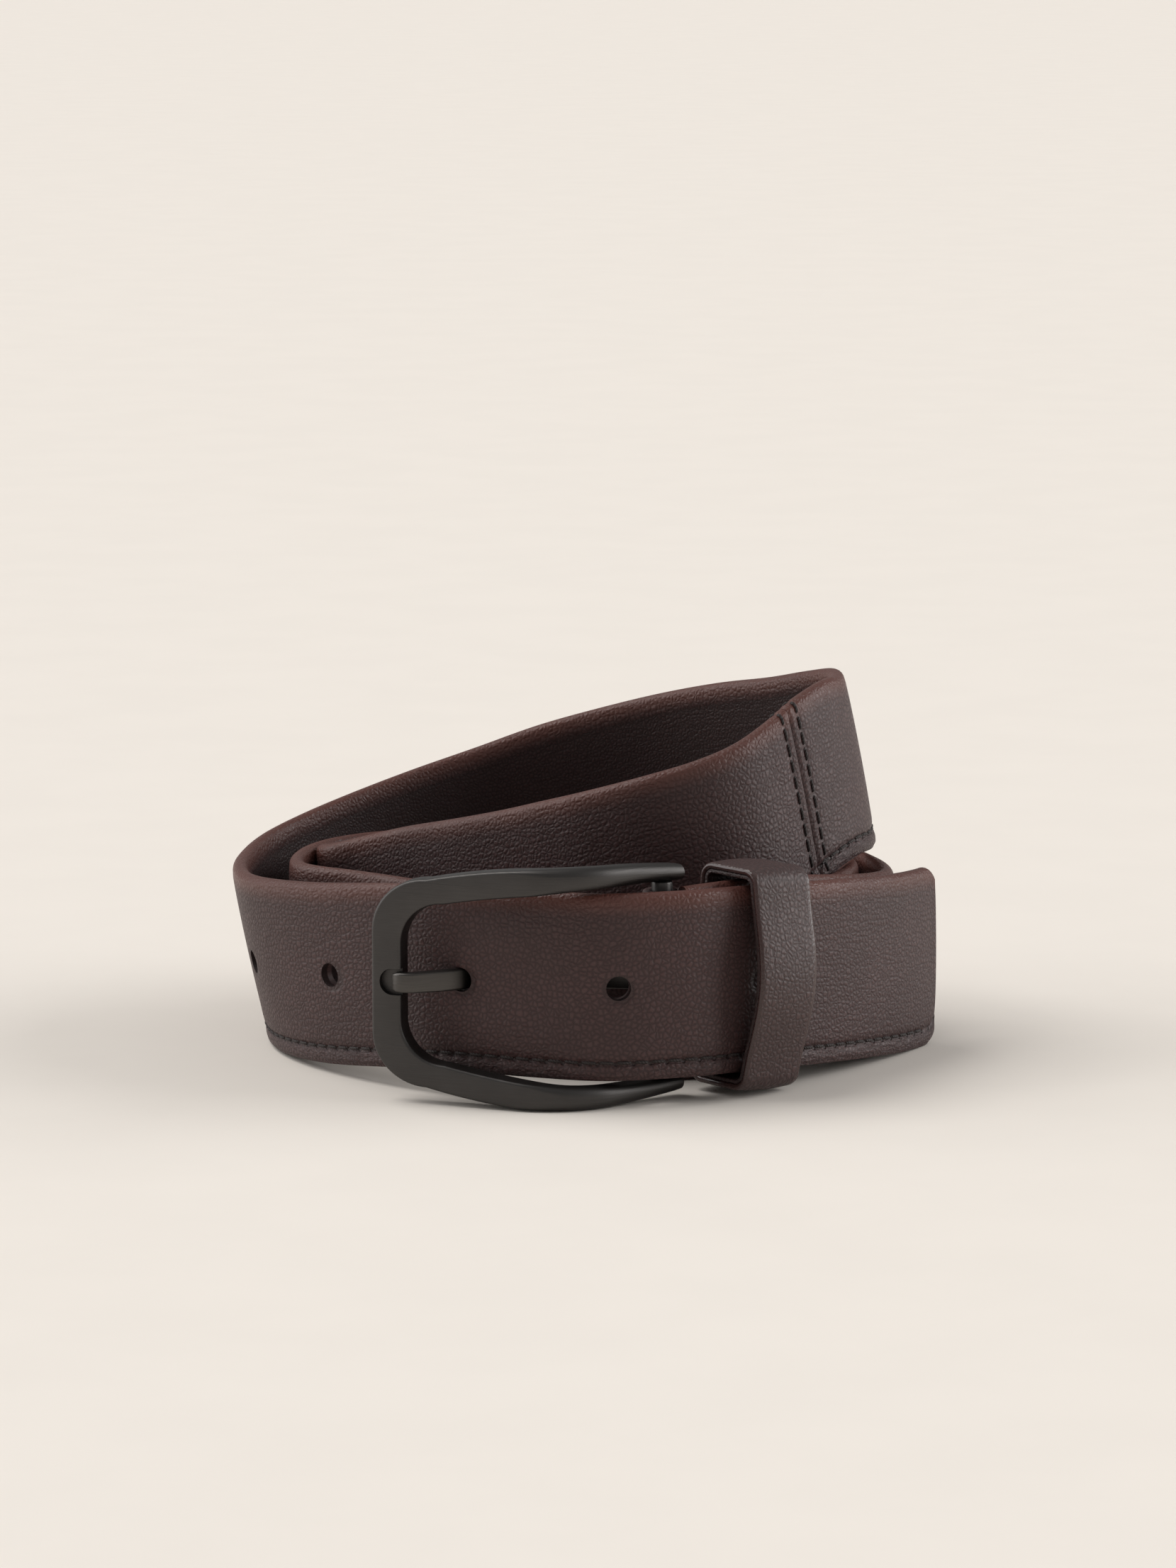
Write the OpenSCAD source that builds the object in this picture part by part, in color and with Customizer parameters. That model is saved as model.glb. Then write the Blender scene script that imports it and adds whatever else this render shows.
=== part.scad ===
// Gentleman's leather dress belt, buckled and coiled in three turns, standing on its edge.
// +Z is up. X runs along the buckle and Y runs back through the coil. The origin lies on the
// surface that the belt stands on, under the middle of the whole coil.

/* [Strap] */
// Height of the strap, edge to edge
strap_w = 35; // [30:0.5:42]
// Thickness of the finished strap
strap_t = 3; // [2.6:0.1:3.6]
// Thickness of the facing leather
facing_t = 1; // [0.8:0.1:1.2]
// Thickness of the lining leather
lining_t = 0.8; // [0.6:0.1:1]
// How far the facing turns down over the inner side at the top edge
turn_down = 4; // [3:0.5:6]
// Radius of the rounded corners at the tip
tip_corner_r = 4; // [2:0.5:7]
// Height of the seam above the bottom edge
seam_h = 3.4; // [2.5:0.1:5]
// Width of the sewing thread
thread_w = 0.6; // [0.4:0.05:0.7]
// How far the thread stands proud of the leather
thread_proud = 0.25; // [0.15:0.05:0.35]

/* [Holes] */
// Number of prong holes
hole_count = 5; // [3:1:5]
// Diameter of a prong hole
hole_d = 4.6; // [4.2:0.1:5]
// Spacing of the prong holes along the strap
hole_pitch = 29.4; // [27:0.1:31]

/* [Coil] */
// Depth of the coil, front to back
coil_d = 124; // [104:1:150]
// Least air left between neighbouring turns
lane_gap = 0.8; // [0.7:0.1:1.2]

/* [Buckle] */
// Greatest height of the buckle frame
frame_h = 45.5; // [44:0.5:55]
// Thickness of the frame, front to back
frame_t = 4.4; // [3.6:0.1:5]
// Width of the toe bar that the prong rests on
toe_bar_w = 5.4; // [4.5:0.1:6.5]
// Diameter of the heel bar
bar_d = 4; // [3.4:0.1:4.4]
// Height of the prong's bar
prong_h = 4; // [3.4:0.1:4.1]
// Radial clearance of the prong's eye and of the fold on the heel bar
bar_clear = 0.08; // [0.04:0.01:0.1]

/* [Keeper] */
// Width of the keeper along the strap
keeper_w = 14; // [10:0.5:16]
// Thickness of the keeper's leather
keeper_t = 2; // [1.6:0.1:2.4]
// Air between the two straps and the keeper, front to back
keeper_air = 2; // [1.4:0.1:3]

/* [Hidden] */
$fn = 48;
eps = 0.01;

// Heights that the coil's route is built from: the lift of the strap inside the buckle, and
// the climb of the crossing turn over the turns below it.
lift = (frame_h - strap_w) / 2;
turn_air = 1.3;
climb = strap_w + turn_air;

// The route of the strap's bottom edge, from the heel of the buckle to the tip. Each row is
// x, y, share of the climb, share of the lift, lean in degrees, and how many turns lie outside.
route = [
    [17.5, 8.1, 0, 1, 0, 1], [24.2, 12.9, 0, 1, 0, 1], [30.8, 18.8, 0, 0.95, 0, 1],
    [38.2, 27, 0, 0.75, 0, 1], [46.8, 37.6, 0, 0.4, 0, 1], [53.2, 45.9, 0, 0.15, 0, 1],
    [57.1, 53, 0, 0.03, 0, 1], [57.4, 60.5, 0, 0, 0, 1], [55.3, 69.3, 0, 0, 0, 1],
    [51.2, 78.6, 0, 0, 0, 1], [41.3, 89.3, 0, 0, 0, 1], [27, 97.5, 0, 0, 0, 1],
    [9, 102, 0, 0, 0, 1], [-11, 103, 0, 0, 0, 1], [-29, 101.2, 0, 0, 0, 1],
    [-42, 96.6, 0, 0, 0, 1], [-50, 90, 0, 0, 0, 1], [-54.5, 82.3, 0, 0, 0, 1],
    [-56.6, 74, 0, 0, 0, 1], [-56.8, 66.8, 0, 0, 0, 1], [-55.3, 61.3, 0, 0, 0, 1],
    [-51.4, 57.4, 0, 0, 0, 1], [-46.3, 54.2, 0, 0, 0, 1.2], [-40.3, 49.8, 0, 0, 0, 1.4],
    [-29, 40.8, 0, 0, 0, 1.6], [-17, 32.5, 0, 0, 0, 2], [-4, 27, 0, 0, 0, 2],
    [9, 25, 0, 0, 0, 2], [20, 26, 0, 0, 0, 2], [28, 29.3, 0, 0, 0, 2], [34.5, 33.5, 0, 0, 0, 2],
    [39.5, 38, 0, 0, 0, 2], [43.4, 43.3, 0, 0, 0, 2], [47.8, 51, 0, 0, 0, 2],
    [50.4, 58.7, 0, 0, 0, 2], [51.1, 66, 0, 0, 0, 2], [48.9, 73.6, 0, 0, 0, 2],
    [43.8, 80.4, 0, 0, 0, 2], [35.2, 87, 0, 0, 0, 2], [22.6, 93.2, 0, 0, 0, 2],
    [7, 96.4, 0, 0, 0, 2], [-11, 97, 0, 0, 0, 2], [-27, 94.7, 0, 0, 0, 2],
    [-37.3, 91.6, 0, 0, 0, 2], [-43.8, 88.9, 0, 0, 0, 2], [-48.4, 85.3, 0, 0, 0, 2],
    [-50.9, 80.6, 0.01, 0, 2, 2], [-48.8, 76.4, 0.03, 0, 3, 2], [-41.5, 73.2, 0.09, 0, 4.5, 2],
    [-31, 66.8, 0.18, 0, 7, 2.2], [-20.5, 58.5, 0.265, 0, 9, 2.4],
    [-10.3, 51.3, 0.35, 0, 11, 2.6], [-1.3, 45, 0.435, 0, 12, 3], [7, 40.2, 0.51, 0, 13, 3],
    [18.5, 36.4, 0.61, 0, 13, 3], [28, 37.2, 0.685, 0, 13, 3], [35.2, 40.8, 0.755, 0, 12.5, 3],
    [41, 46.8, 0.84, 0, 12, 3], [46.3, 53.8, 0.94, 0, 11.5, 2.4], [51.5, 61.8, 1, 0, 11, 2],
    [54.7, 70, 1, 0, 11, 2], [54.6, 79, 1, 0, 11.5, 1.6], [50.6, 88.5, 0.95, 0, 12.5, 1],
    [44, 98, 0.88, 0, 13.5, 0.3], [34.8, 107.3, 0.815, 0, 14.5, 0], [24, 114.8, 0.73, 0, 15, 0],
    [12, 119.5, 0.63, 0, 15, 0], [-1, 121.6, 0.52, 0, 15, 0], [-14, 120.6, 0.395, 0, 15, 0],
    [-27, 115.6, 0.29, 0, 14.5, 0], [-39, 108, 0.195, 0, 14, 0], [-49.3, 98.7, 0.115, 0, 13, 0],
    [-56.6, 88.3, 0.055, 0, 12.5, 0], [-60.2, 76, 0.02, 0, 12, 0], [-61, 63.5, 0.01, 0, 11.5, 0],
    [-59, 51, 0.005, 0.06, 11, 0], [-54.4, 40, 0, 0.22, 9, 0], [-47, 29.5, 0, 0.42, 6, 0],
    [-37, 19.6, 0, 0.72, 2.5, 0], [-24, 10.6, 0, 0.96, 0.5, 0], [-11, 4.4, 0, 1, 0, 0],
    [3, 0.8, 0, 1, 0, 0], [17.5, 4, 0, 1, 0, 0], [26.7, 9.8, 0, 0.93, 0, 0],
    [33.7, 15.7, 0, 0.82, 0, 0], [41, 22.6, 0, 0.67, 0, 0], [49.5, 32.4, 0, 0.45, 0, 0],
    [57.2, 43.2, 0, 0.2, 0, 0], [62.3, 51.6, 0, 0.06, 0, 0], [66.3, 59.2, 0, 0, 0, 0]
];
// The route is drawn with its y from the buckle's front; the finished belt is set down with
// its middle over the origin.
route_mid = [-0.818, 59.756];
module set_down() { translate([-route_mid[0], -route_mid[1], 0]) children(); }
route_lane = 3.8;
route_depth = 124;
centre_y = 60;
swell = strap_t + lane_gap - route_lane;

// A station in space: the plan grows with the thickness of the turns, and its depth follows
// coil_d behind the buckle.
function depth_share(y) = min(1, max(0, (y - 25) / 35));
function deepen(y) = y + depth_share(y) * y * (coil_d / route_depth - 1);
function inward(p) = let (d = [0 - p[0], centre_y - p[1]]) d / max(1, norm(d));
function station(r) = let (
        p = [r[0], r[1]] + inward(r) * r[5] * swell
    ) [p[0], deepen(p[1]), r[2] * climb + r[3] * lift, r[4]];
stations = [for (r = route) station(r)];
last = len(stations) - 1;

// Smooth curve through the stations
function spline(a, b, c, d, t) =
    b + t / 2 * ((c - a) + t * ((2 * a - 5 * b + 4 * c - d) + t * (3 * (b - c) + d - a)));
function at(u) = let (
        i = min(last - 1, floor(u)),
        t = u - i,
        b = stations[i],
        c = stations[i + 1],
        a = i > 0 ? stations[i - 1] : 2 * b - c,
        d = i + 2 <= last ? stations[i + 2] : 2 * c - b
    ) spline(a, b, c, d, t);
function unit(v) = v / norm(v);
function point(u) = let (s = at(u)) [s[0], s[1], max(0, s[2])];
function along(u) = unit(point(min(last, u + eps)) - point(max(0, u - eps)));
function rise(u) = let (a = at(u)[3]) [-sin(a), 0, cos(a)];
// Outward direction, away from the inside of the coil, square to the strap's face
function outward(u) = unit(cross(along(u), rise(u)));
function place(u, v, w) = point(u) + v * outward(u) + w * rise(u);

// Places along the route, by station number
u_leaf = 3;
u_join = 57.6;
u_keeper = 83.65;
u_tip = last;
rings_per_span = 2;
function ring_list(u0, u1) = let (n = ceil((u1 - u0) * rings_per_span))
    [for (i = [0:n]) u0 + (u1 - u0) * i / n];

// The place a given length back along the strap
function walk(u, len_left, step = 0.02) = len_left <= 0 || u <= 0 ? u
    : walk(u - step, len_left - norm(point(u) - point(u - step)), step);

// Section outlines of the three layers, as [outward, height] pairs
half_t = strap_t / 2;
face_in = half_t - facing_t;
line_in = -half_t + lining_t;
turn_in = -half_t + facing_t;
crown = half_t;
crown_in = crown - facing_t;
function arc(r, h, a0, a1, n) = [for (i = [0:n]) let (a = a0 + (a1 - a0) * i / n)
    [r * cos(a), h + r * sin(a)]];
top_h = strap_w - crown;
turn_h = strap_w - turn_down;
facing_section = concat(
    [[face_in, 0], [half_t, 0], [half_t, seam_h], [half_t, seam_h + thread_w]],
    arc(crown, top_h, 0, 180, 6),
    [[-half_t, turn_h], [turn_in, turn_h]],
    arc(crown_in, top_h, 180, 0, 4)
);
lining_section = [[-half_t, 0], [line_in, 0], [line_in, turn_h], [-half_t, turn_h]];
core_section = concat(
    [[line_in, 0], [face_in, 0]],
    arc(crown_in, top_h, 0, 180, 4),
    [[turn_in, turn_h], [line_in, turn_h]]
);

// A closed sweep of a section along the strap. Each side is split along the same diagonal,
// low edge to high edge, so that two layers with a shared face meet exactly.
function side_faces(n, j, i, low_first) = let (
        k = (i + 1) % n,
        a = j * n + i,
        b = j * n + k,
        c = (j + 1) * n + k,
        d = (j + 1) * n + i
    ) low_first ? [[a, b, c], [a, c, d]] : [[a, b, d], [b, c, d]];
// The trims say how much lower each ring stands at each edge.
module sweep(section, us, trims = []) {
    n = len(section);
    m = len(us);
    function trimmed(w, cut) = cut + w * (1 - 2 * cut / strap_w);
    pts = [for (j = [0:m - 1]) let (cut = len(trims) > 0 ? trims[j] : 0)
        for (q = section) place(us[j], q[0], trimmed(q[1], cut))];
    sides = [for (j = [0:m - 2]) for (i = [0:n - 1])
        each side_faces(n, j, i, section[i][1] <= section[(i + 1) % n][1])];
    ends = [[for (i = [n - 1:-1:0]) i], [for (i = [0:n - 1]) (m - 1) * n + i]];
    polyhedron(points = pts, faces = concat(sides, ends), convexity = 10);
}

// Axes at a place along the strap: X along it, Y inward through it, Z up its face
module on_strap(u) {
    a = along(u);
    o = -outward(u);
    r = cross(a, o);
    p = point(u);
    multmatrix([[a[0], o[0], r[0], p[0]], [a[1], o[1], r[1], p[1]],
                [a[2], o[2], r[2], p[2]], [0, 0, 0, 1]]) children();
}

// Prong holes, counted from the tip; the prong sits in the middle one
tip_to_hole = 58;
u_holes = [for (i = [0:hole_count - 1]) walk(u_tip, tip_to_hole + i * hole_pitch)];
prong_hole = floor(hole_count / 2);
u_prong = u_holes[prong_hole];
module prong_holes() {
    for (u = u_holes) on_strap(u) translate([0, 0, strap_w / 2]) rotate([90, 0, 0])
        cylinder(h = strap_t + 2, d = hole_d, center = true);
}

// Rounded corners of the tip: close to the end, the rings keep clear of both edges. Each ring
// is a place along the route and the height that the corner takes off at each edge.
u_corner = walk(u_tip, tip_corner_r);
corner_steps = 6;
tip_rings = concat(
    [for (u = ring_list(u_join, u_corner)) [u, 0]],
    [for (i = [1:corner_steps]) let (a = 90 * i / corner_steps)
        [u_corner + (u_tip - u_corner) * sin(a), tip_corner_r * (1 - cos(a))]]);
module tip_layer(section) {
    difference() {
        sweep(section, [for (r = tip_rings) r[0]], [for (r = tip_rings) r[1]]);
        prong_holes();
    }
}
module heel_layer(section) {
    difference() {
        sweep(section, ring_list(0, u_join));
        heel_slot();
    }
}
// Slot through the strap's end and the return leaf, where the prong's eye turns
module heel_slot() {
    on_strap(0) translate([-1, -strap_t, (strap_w - slot_h) / 2])
        cube([1 + eye_out + 0.5 - bar_back, 2 * strap_t + 2 * leaf_t, slot_h]);
}

// One line of sewing on each face, above the bottom edge
thread_off = half_t + 0.05;
back_thread_off = half_t + 0.16;
tip_sewn = ring_list(u_join, u_corner);
heel_sewn = [for (u = ring_list(0, u_join)) if (u > u_leaf + 0.1) u];
module edge_thread(us) {
    for (side = [1, -1]) let (
            off = side > 0 ? thread_off : back_thread_off,
            a = side * off,
            b = side * (off + thread_proud)
        ) sweep(side > 0 ? thread_section(a, b) : thread_section(b, a), us);
}
function thread_section(a, b) =
    [[a, seam_h], [b, seam_h], [b, seam_h + thread_w], [a, seam_h + thread_w]];

// A row of stitches up the strap's face, side 1 outside and -1 inside
stitch_pitch = 3.1;
stitch_len = 2.5;
module stitch_row(u, side, off, h0, h1) {
    n = floor((h1 - h0) / stitch_pitch);
    for (i = [0:n - 1])
        translate(place(u, side * (off + thread_proud / 2), h0 + i * stitch_pitch) - point(u))
            on_strap(u) translate([-thread_w / 2, -thread_proud / 2, 0])
                cube([thread_w, thread_proud, stitch_len]);
}

// Join of the two strap lengths, sewn with a row on each side of the butt line
join_row = 0.26;
join_off = half_t + 0.14;
join_low = seam_h + thread_w + 0.4;
module join_thread(side) {
    u = u_join + side * join_row;
    stitch_row(u, 1, join_off, join_low, strap_w - 1);
    stitch_row(u, -1, join_off, join_low, strap_w - 1);
}

// Heel bar, fold and return leaf
leaf_t = 1.6;
bar_r = bar_d / 2;
loop_in = bar_r + bar_clear;
loop_out = loop_in + leaf_t;
bar_back = 2.6;
bar_deep = loop_out - half_t + 0.7;
mid_z = frame_h / 2;
bar_at = point(0) - bar_back * along(0) - bar_deep * outward(0);
loop_h = strap_w - 1.4;
slot_h = prong_h + 1;
leaf_us = ring_list(0, u_leaf);
leaf_off = half_t + 0.04;
leaf_low = 0.7;
leaf_section = [[-leaf_off - leaf_t, leaf_low], [-leaf_off, leaf_low],
                [-leaf_off, strap_w - leaf_low], [-leaf_off - leaf_t, strap_w - leaf_low]];
module fold_loop() {
    color([0.24, 0.16, 0.14]) set_down() difference() {
        translate([bar_at[0], bar_at[1], mid_z - loop_h / 2]) cylinder(h = loop_h, r = loop_out);
        translate([bar_at[0], bar_at[1], 0]) cylinder(h = frame_h, r = loop_in);
        // Slot for the prong's eye
        translate([bar_at[0] - 2 * loop_out, bar_at[1] - loop_out - 1, mid_z - slot_h / 2])
            cube([4 * loop_out, 2 * loop_out + 2, slot_h]);
        // The loop stops at the end of the strap
        on_strap(0) translate([0, -strap_w, -lift]) cube([strap_w, 2 * strap_w, frame_h]);
    }
}
module return_leaf() {
    color([0.24, 0.16, 0.14]) set_down() difference() {
        sweep(leaf_section, leaf_us);
        heel_slot();
    }
}
u_sew_near = 0.62;
u_sew_far = 2.78;
module fold_thread(u) {
    stitch_row(u, 1, half_t + 0.08, 1.2, strap_w - 1);
    stitch_row(u, -1, leaf_off + leaf_t + 0.08, 1.2, strap_w - 1);
}

// Buckle frame: its front outline, and the bent band that it is cut from
toe_x = -39.4;
heel_x = 19;
outer_arc = 120;
outer_mid = -2;
toe_corner = 10;
inner_arc = 170;
inner_mid = 8;
window_half = strap_w / 2 + 1.05;
window_corner = 8;
function arc_height(r, x) = r - sqrt(r * r - x * x);
// Outline that is barrelled above and below and rounded at the toe; it is open-ended at x1
function barrel_top(x0, top, r, mid, corner, x1) = let (
        cx = x0 + corner,
        cz = top - arc_height(r, cx - mid) - corner
    ) concat(
        [for (i = [0:16]) let (x = x1 + (cx - x1) * i / 16) [x, top - arc_height(r, x - mid)]],
        [for (i = [1:8]) let (a = 90 + 90 * i / 8) [cx + corner * cos(a), cz + corner * sin(a)]]);
module barrel(x0, top, r, mid, corner, x1) {
    upper = barrel_top(x0, top, r, mid, corner, x1);
    polygon(concat(upper, [for (p = reversed(upper)) [p[0], -p[1]]]));
}
bend_at = [-4.1, -3.9];
bend_r = 18;
arm_past = 4.4;
toe_angle = -20;
heel_angle = atan2(bar_at[1] - bend_at[1], bar_at[0] - bend_at[0]);
bend_half = (heel_angle - toe_angle) / 2;
bend_axis = (heel_angle + toe_angle) / 2 + 90;
bend_centre = bend_at + bend_r / cos(bend_half) * [cos(bend_axis), sin(bend_axis)];
// Line of the band at a signed distance from its middle, toe to heel, positive towards the back
function band_line(off) = let (r = bend_r - off) concat(
    [band_end(toe_angle, -44, off)],
    [for (i = [0:12]) let (a = toe_angle - 90 + 2 * bend_half * i / 12)
        bend_centre + r * [cos(a), sin(a)]],
    [band_end(heel_angle, norm([bar_at[0] - bend_at[0], bar_at[1] - bend_at[1]]) + arm_past, off)]);
function band_end(a, d, off) = bend_at + d * [cos(a), sin(a)] + off * [-sin(a), cos(a)];
function reversed(v) = [for (i = [len(v) - 1:-1:0]) v[i]];
module band() { polygon(concat(band_line(-frame_t / 2), reversed(band_line(frame_t / 2)))); }
notch_r = prong_h / 2 + 0.5;
notch_depth = 1.3;
notch_x = toe_x + 3.9;
// Recess in the front of the toe bar that takes the prong's end
module front_cut(depth, x, r) {
    translate([bend_at[0], bend_at[1], mid_z]) rotate([0, 0, toe_angle])
        translate([(x - bend_at[0]) / cos(toe_angle), -frame_t / 2 + depth, 0]) rotate([90, 0, 0]) {
            cylinder(h = frame_t, r = r);
            translate([0, -r, 0]) cube([toe_bar_w, 2 * r, frame_t]);
        }
}
module through() {
    translate([0, 40, mid_z]) rotate([90, 0, 0]) linear_extrude(60) children();
}
spigot_r = 1.3;
spigot_h = 2.4;
module buckle_frame() {
    color([0.30, 0.29, 0.28]) set_down() difference() {
        intersection() {
            linear_extrude(frame_h) band();
            through() barrel(toe_x, frame_h / 2, outer_arc, outer_mid, toe_corner, heel_x + 2);
        }
        through() barrel(toe_x + toe_bar_w, window_half, inner_arc, inner_mid,
                         window_corner, heel_x + 20);
        translate([bar_at[0], bar_at[1], mid_z - window_half - spigot_h])
            cylinder(h = 2 * (window_half + spigot_h), r = spigot_r);
        front_cut(notch_depth, notch_x, notch_r);
    }
}
// Heel bar, with a thinner spigot at each end that sits in the frame's arm
module heel_bar() {
    color([0.34, 0.33, 0.32]) set_down() translate([bar_at[0], bar_at[1], mid_z]) {
        translate([0, 0, 0.15 - window_half]) cylinder(h = 2 * window_half - 0.3, r = bar_r);
        translate([0, 0, -window_half - spigot_h])
            cylinder(h = 2 * (window_half + spigot_h), r = spigot_r);
    }
}

// Prong: an eye round the heel bar and a bar that passes behind the strap, up through the
// hole and over to the notch in the toe bar
prong_t = 1.9;
rest_air = 0.08;
// The prong is narrower where it passes through the round hole
neck_h = 2.6;
neck_half = 2.5;
eye_out = loop_in + 1.3;
prong_air = 0.55;
cross_off = half_t + prong_air + prong_t / 2;
cross_run = 0.9;
hole_out = outward(u_prong);
hole_along = along(u_prong);
hole_at = point(u_prong) + strap_w / 2 * cross(hole_along, -hole_out);
behind = hole_at - cross_off * hole_out + cross_run * hole_along;
before = hole_at + cross_off * hole_out - cross_run * hole_along;
toe_dir = [cos(toe_angle), sin(toe_angle)];
toe_out = [sin(toe_angle), -cos(toe_angle)];
rest_mid = bend_at + (notch_x - bend_at[0]) / cos(toe_angle) * toe_dir
    + (frame_t / 2 - notch_depth + rest_air + prong_t / 2) * toe_out;
rest_start = rest_mid + (toe_bar_w - 2.2) * toe_dir;
prong_line = [[bar_at[0] - loop_in - 0.4, bar_at[1]], [behind[0], behind[1]],
              [before[0], before[1]], rest_start, rest_mid];
// Outline of a bar of even thickness along a bent line
function turn_at(line, i) = let (
        a = i > 0 ? unit(line[i] - line[i - 1]) : unit(line[1] - line[0]),
        b = i < len(line) - 1 ? unit(line[i + 1] - line[i]) : a,
        m = unit(a + b)
    ) [-m[1], m[0]] / max(0.5, m * a);
function bar_side(line, off) = [for (i = [0:len(line) - 1]) line[i] + off * turn_at(line, i)];
module prong() {
    color([0.38, 0.36, 0.35]) set_down() difference() {
        translate([0, 0, mid_z - prong_h / 2]) {
            translate([bar_at[0], bar_at[1], 0]) cylinder(h = prong_h, r = eye_out);
            linear_extrude(prong_h) polygon(concat(
                bar_side(prong_line, prong_t / 2), reversed(bar_side(prong_line, -prong_t / 2))));
            translate([rest_mid[0], rest_mid[1], 0]) cylinder(h = prong_h, r = prong_t / 2);
        }
        translate([bar_at[0], bar_at[1], 0]) cylinder(h = frame_h, r = loop_in);
        on_strap(u_prong) for (side = [-1, 1])
            translate([-5, -neck_half, strap_w / 2 + side * (neck_h / 2 + 5) - 5])
                cube([10, 2 * neck_half, 10]);
    }
}

// Keeper: a leather band and its lining round both straps and the return leaf
keeper_lining_t = 0.8;
keeper_front = half_t + keeper_air / 2;
keeper_back = keeper_air / 2 + max([for (u = [0.8:0.1:3]) let (
        d = place(u, -leaf_off - leaf_t, strap_w / 2) - place(u_keeper, 0, strap_w / 2)
    ) abs(d * along(u_keeper)) < keeper_w / 2 + 0.5 ? -d * outward(u_keeper) : 0]);
keeper_rise = 1.3;
module keeper_ring(grow_out, grow_in, w) {
    on_strap(u_keeper) translate([-w / 2, 0, 0]) rotate([90, 0, 90]) linear_extrude(w)
        difference() {
            keeper_outline(grow_out);
            keeper_outline(grow_in);
        }
}
module keeper_outline(grow) {
    r = 1 + grow;
    x0 = -keeper_front - grow;
    x1 = keeper_back + grow;
    z0 = -keeper_rise - grow;
    z1 = strap_w + keeper_rise + grow;
    translate([x0 + r, z0]) square([x1 - x0 - 2 * r, z1 - z0]);
    translate([x0, z0 + r]) square([x1 - x0, z1 - z0 - 2 * r]);
    for (x = [x0 + r, x1 - r]) for (z = [z0 + r, z1 - r]) translate([x, z]) circle(r);
}
module keeper_band() {
    color([0.25, 0.19, 0.18]) set_down() keeper_ring(keeper_t, keeper_lining_t, keeper_w);
}
module keeper_lining() {
    color([0.20, 0.14, 0.13]) set_down() keeper_ring(keeper_lining_t, 0, keeper_w);
}
// Wire staple that joins the ends of the band behind the straps
staple_w = 6;
staple_d = 0.6;
module keeper_staple() {
    color([0.6, 0.58, 0.55]) set_down() on_strap(u_keeper)
        translate([-staple_d / 2, keeper_back + keeper_t + 0.03, (strap_w - staple_w) / 2])
            cube([staple_d, staple_d, staple_w]);
}

module facing_tip() { color([0.22, 0.15, 0.14]) set_down() tip_layer(facing_section); }
module core_tip() { color([0.45, 0.36, 0.28]) set_down() tip_layer(core_section); }
module lining_tip() { color([0.17, 0.11, 0.10]) set_down() tip_layer(lining_section); }
module facing_heel() { color([0.22, 0.15, 0.14]) set_down() heel_layer(facing_section); }
module core_heel() { color([0.45, 0.36, 0.28]) set_down() heel_layer(core_section); }
module lining_heel() { color([0.17, 0.11, 0.10]) set_down() heel_layer(lining_section); }
module edge_thread_tip() { color([0.14, 0.09, 0.08]) set_down() edge_thread(tip_sewn); }
module edge_thread_heel() { color([0.14, 0.09, 0.08]) set_down() edge_thread(heel_sewn); }
module join_thread_tip() { color([0.14, 0.09, 0.08]) set_down() join_thread(1); }
module join_thread_heel() { color([0.14, 0.09, 0.08]) set_down() join_thread(-1); }
module fold_thread_near() { color([0.62, 0.48, 0.36]) set_down() fold_thread(u_sew_near); }
module fold_thread_far() { color([0.62, 0.48, 0.36]) set_down() fold_thread(u_sew_far); }

facing_tip();
core_tip();
lining_tip();
facing_heel();
core_heel();
lining_heel();
edge_thread_tip();
edge_thread_heel();
join_thread_tip();
join_thread_heel();
fold_loop();
return_leaf();
fold_thread_near();
fold_thread_far();
keeper_band();
keeper_lining();
keeper_staple();
buckle_frame();
heel_bar();
prong();
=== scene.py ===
import math
from bisect import bisect_left

import bpy
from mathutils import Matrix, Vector


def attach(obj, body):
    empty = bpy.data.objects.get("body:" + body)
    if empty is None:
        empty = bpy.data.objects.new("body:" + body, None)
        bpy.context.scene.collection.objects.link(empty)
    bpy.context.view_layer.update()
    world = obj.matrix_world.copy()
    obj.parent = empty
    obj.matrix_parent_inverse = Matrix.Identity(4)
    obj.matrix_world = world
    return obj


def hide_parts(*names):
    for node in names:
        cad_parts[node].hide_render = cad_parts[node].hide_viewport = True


bl_info = {
    "name": "Coiled dress belt",
    "version": (1, 0, 0),
    "blender": (4, 5, 0),
    "location": "3D View > Sidebar > Belt",
    "description": "Leather dress belt, buckled and coiled, built around its packed frame",
    "category": "Object",
}

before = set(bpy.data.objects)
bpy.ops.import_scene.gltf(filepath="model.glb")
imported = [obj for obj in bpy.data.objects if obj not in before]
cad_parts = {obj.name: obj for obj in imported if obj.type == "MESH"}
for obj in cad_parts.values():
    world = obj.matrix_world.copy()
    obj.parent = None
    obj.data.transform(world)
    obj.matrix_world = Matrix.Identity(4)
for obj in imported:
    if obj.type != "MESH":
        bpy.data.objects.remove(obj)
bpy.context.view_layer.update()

MM = 0.001
STRAP_W = 35.0
STRAP_T = 3.0
HALF_T = STRAP_T / 2
FACING_T = 1.0
LINING_T = 0.8
TURN_DOWN = 4.0
TIP_CORNER = 4.0
SEAM_H = 3.4
FRAME_H = 45.5
FRAME_T = 4.4
MID_Z = FRAME_H / 2
LIFT = (FRAME_H - STRAP_W) / 2
CLIMB = STRAP_W + 1.3
ROUTE_MID = (-0.818, 59.756)

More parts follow.
